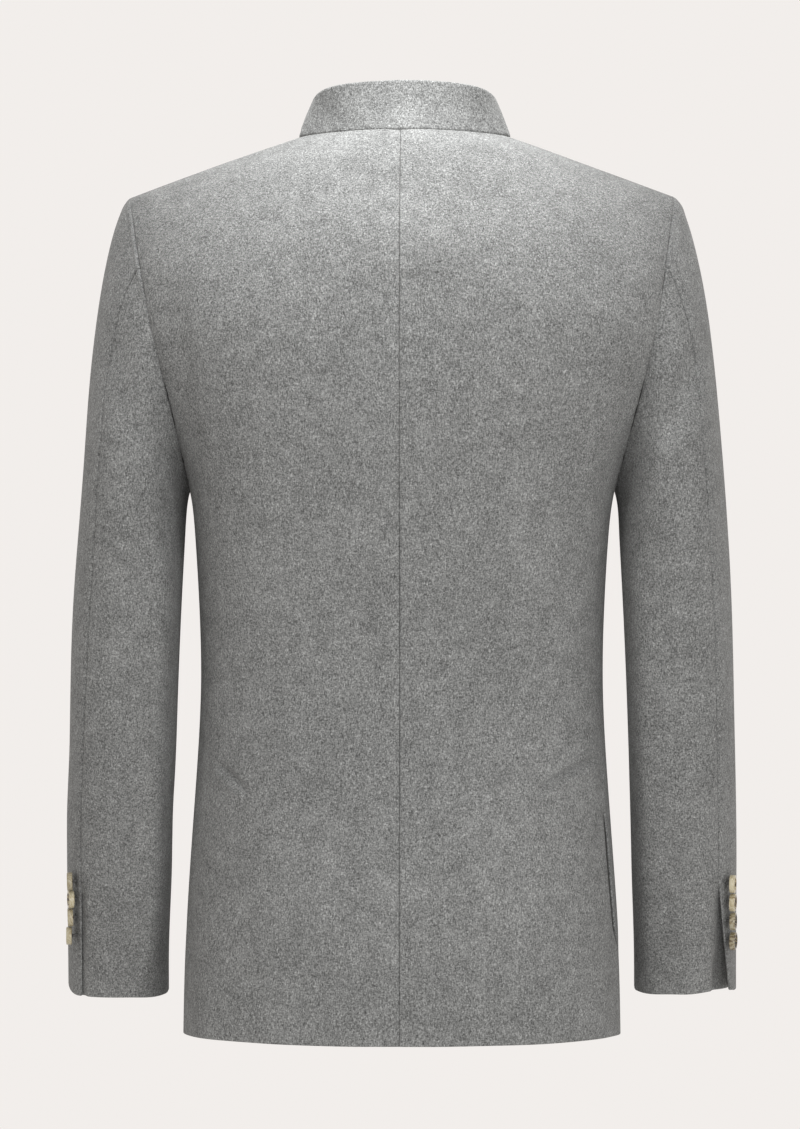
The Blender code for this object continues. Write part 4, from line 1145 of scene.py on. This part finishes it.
# sewn buttonholes in the left front: purl stitches on both lips, a bar at the end
HOLE_START, HOLE_END, STITCH = -1.7, -20.0, 0.8
lapped = sheets["front_left"]
lapped_face = outer_face(lapped)
bm = bmesh.new()
for z in FRONT_BUTTON_Z:
    for x in np.arange(HOLE_END, HOLE_START, STITCH):
        for lip in (-1.0, 1.0):
            tube(bm, [on_cloth(lapped, lapped_face, x, z + lip * off, lift)
                      for off, lift in ((0.34, 0.05), (0.90, 0.16), (1.60, -0.12))], 0.32 * MM, 6)
    for step in (0.6, 1.1):
        tube(bm, [on_cloth(lapped, lapped_face, HOLE_END - step, z + off, lift)
                  for off, lift in ((-1.9, -0.10), (-0.8, 0.18), (0.8, 0.18), (1.9, -0.10))], 0.36 * MM, 6)
bmesh.ops.recalc_face_normals(bm, faces=bm.faces[:])
for face in bm.faces:
    face.smooth = True
hole_mesh = bpy.data.meshes.new("buttonholes")
bm.to_mesh(hole_mesh)
bm.free()
hole_mesh.materials.append(THREAD)
buttonholes = bpy.data.objects.new("buttonholes", hole_mesh)
bpy.context.scene.collection.objects.link(buttonholes)
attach(buttonholes, "root")

# ================================================================== studio
scene = bpy.context.scene
scene.view_settings.view_transform = "Standard"
scene.view_settings.look = "None"
scene.view_settings.exposure = 0.0
scene.view_settings.gamma = 1.0

FLOOR_Z = -1.45
bpy.ops.mesh.primitive_circle_add(vertices=96, radius=2.4, fill_type="NGON", location=(0, 0, FLOOR_Z))
floor = bpy.context.object
floor.name = "floor"
floor_mat, floor_tree, floor_shader = new_material("floor_paint")
floor_where = add_node(floor_tree, "ShaderNodeTexCoord").outputs["Object"]
floor_noise = add_node(floor_tree, "ShaderNodeTexNoise", {"Vector": floor_where})
floor_noise.inputs["Scale"].default_value = 3.0
floor_tree.links.new(ramp_node(floor_tree, floor_noise.outputs["Fac"], [(0.3, (0.80, 0.785, 0.765)), (0.7, (0.83, 0.815, 0.795))]),
                     floor_shader.inputs["Base Color"])
floor_shader.inputs["Roughness"].default_value = 0.9
floor.data.materials.append(floor_mat)

world = bpy.data.worlds.new("studio")
scene.world = world
world.use_nodes = True
sky = world.node_tree.nodes["Background"]
sky.inputs["Color"].default_value = (0.887, 0.855, 0.831, 1.0)
sky.inputs["Strength"].default_value = 1.0


def soft_light(name, at, towards, size, power):
    data = bpy.data.lights.new(name, "AREA")
    data.shape = "RECTANGLE"
    data.size, data.size_y = size
    data.energy = power
    obj = bpy.data.objects.new(name, data)
    obj.location = at
    obj.rotation_euler = (Vector(towards) - Vector(at)).to_track_quat("-Z", "Y").to_euler()
    obj.visible_camera = False
    scene.collection.objects.link(obj)
    return obj


def soft_spot(name, at, towards, angle, power):
    """A spot with a wholly blended cone, for the light that falls on the shoulders."""
    data = bpy.data.lights.new(name, "SPOT")
    data.spot_size, data.spot_blend, data.shadow_soft_size = math.radians(angle), 1.0, 0.15
    data.energy = power
    obj = bpy.data.objects.new(name, data)
    obj.location = at
    obj.rotation_euler = (Vector(towards) - Vector(at)).to_track_quat("-Z", "Y").to_euler()
    obj.visible_camera = False
    scene.collection.objects.link(obj)
    return obj


MIDDLE, NECK = (0.0, 0.0, -0.3), (0.0, -0.05, -0.03)
soft_light("fill", (0.1, -1.8, -0.4), MIDDLE, (1.0, 1.0), 5.8)
soft_light("fill_right", (0.8, -1.5, -0.4), MIDDLE, (0.8, 1.2), 6.4)
soft_spot("fill_middle", (0.03, -1.8, -0.5), (0.0, 0.0, -0.53), 24.0, 10.0)
soft_spot("crown", (0.03, -0.15, 1.6), NECK, 19.0, 206.0)
soft_spot("crown_behind", (0.03, -0.8, 1.4), (0.0, -0.05, -0.01), 17.0, 150.0)
soft_spot("crown_low", (0.03, -1.3, 1.0), NECK, 14.0, 12.0)
soft_spot("crown_beyond", (0.03, 0.35, 1.5), NECK, 20.0, 50.0)

# camera: level, straight behind the jacket and a hair to its right
AWAY, CAMERA_Z, TURN, ASIDE = 2.9, -0.350, math.radians(1.0), 0.0016
look = Vector((math.sin(-TURN), math.cos(-TURN), 0.0))
right_hand = Vector((look.y, -look.x, 0.0))
target = Vector((0.0, 0.0, CAMERA_Z)) - right_hand * ASIDE
camera_data = bpy.data.cameras.new("camera")
camera_data.sensor_fit = "AUTO"
camera_data.sensor_width = 36.0
camera_data.lens = 36.0 * AWAY / (1129 * 0.00081)
camera = bpy.data.objects.new("camera", camera_data)
camera.location = target - look * AWAY
camera.rotation_euler = look.to_track_quat("-Z", "Y").to_euler()
scene.collection.objects.link(camera)
scene.camera = camera
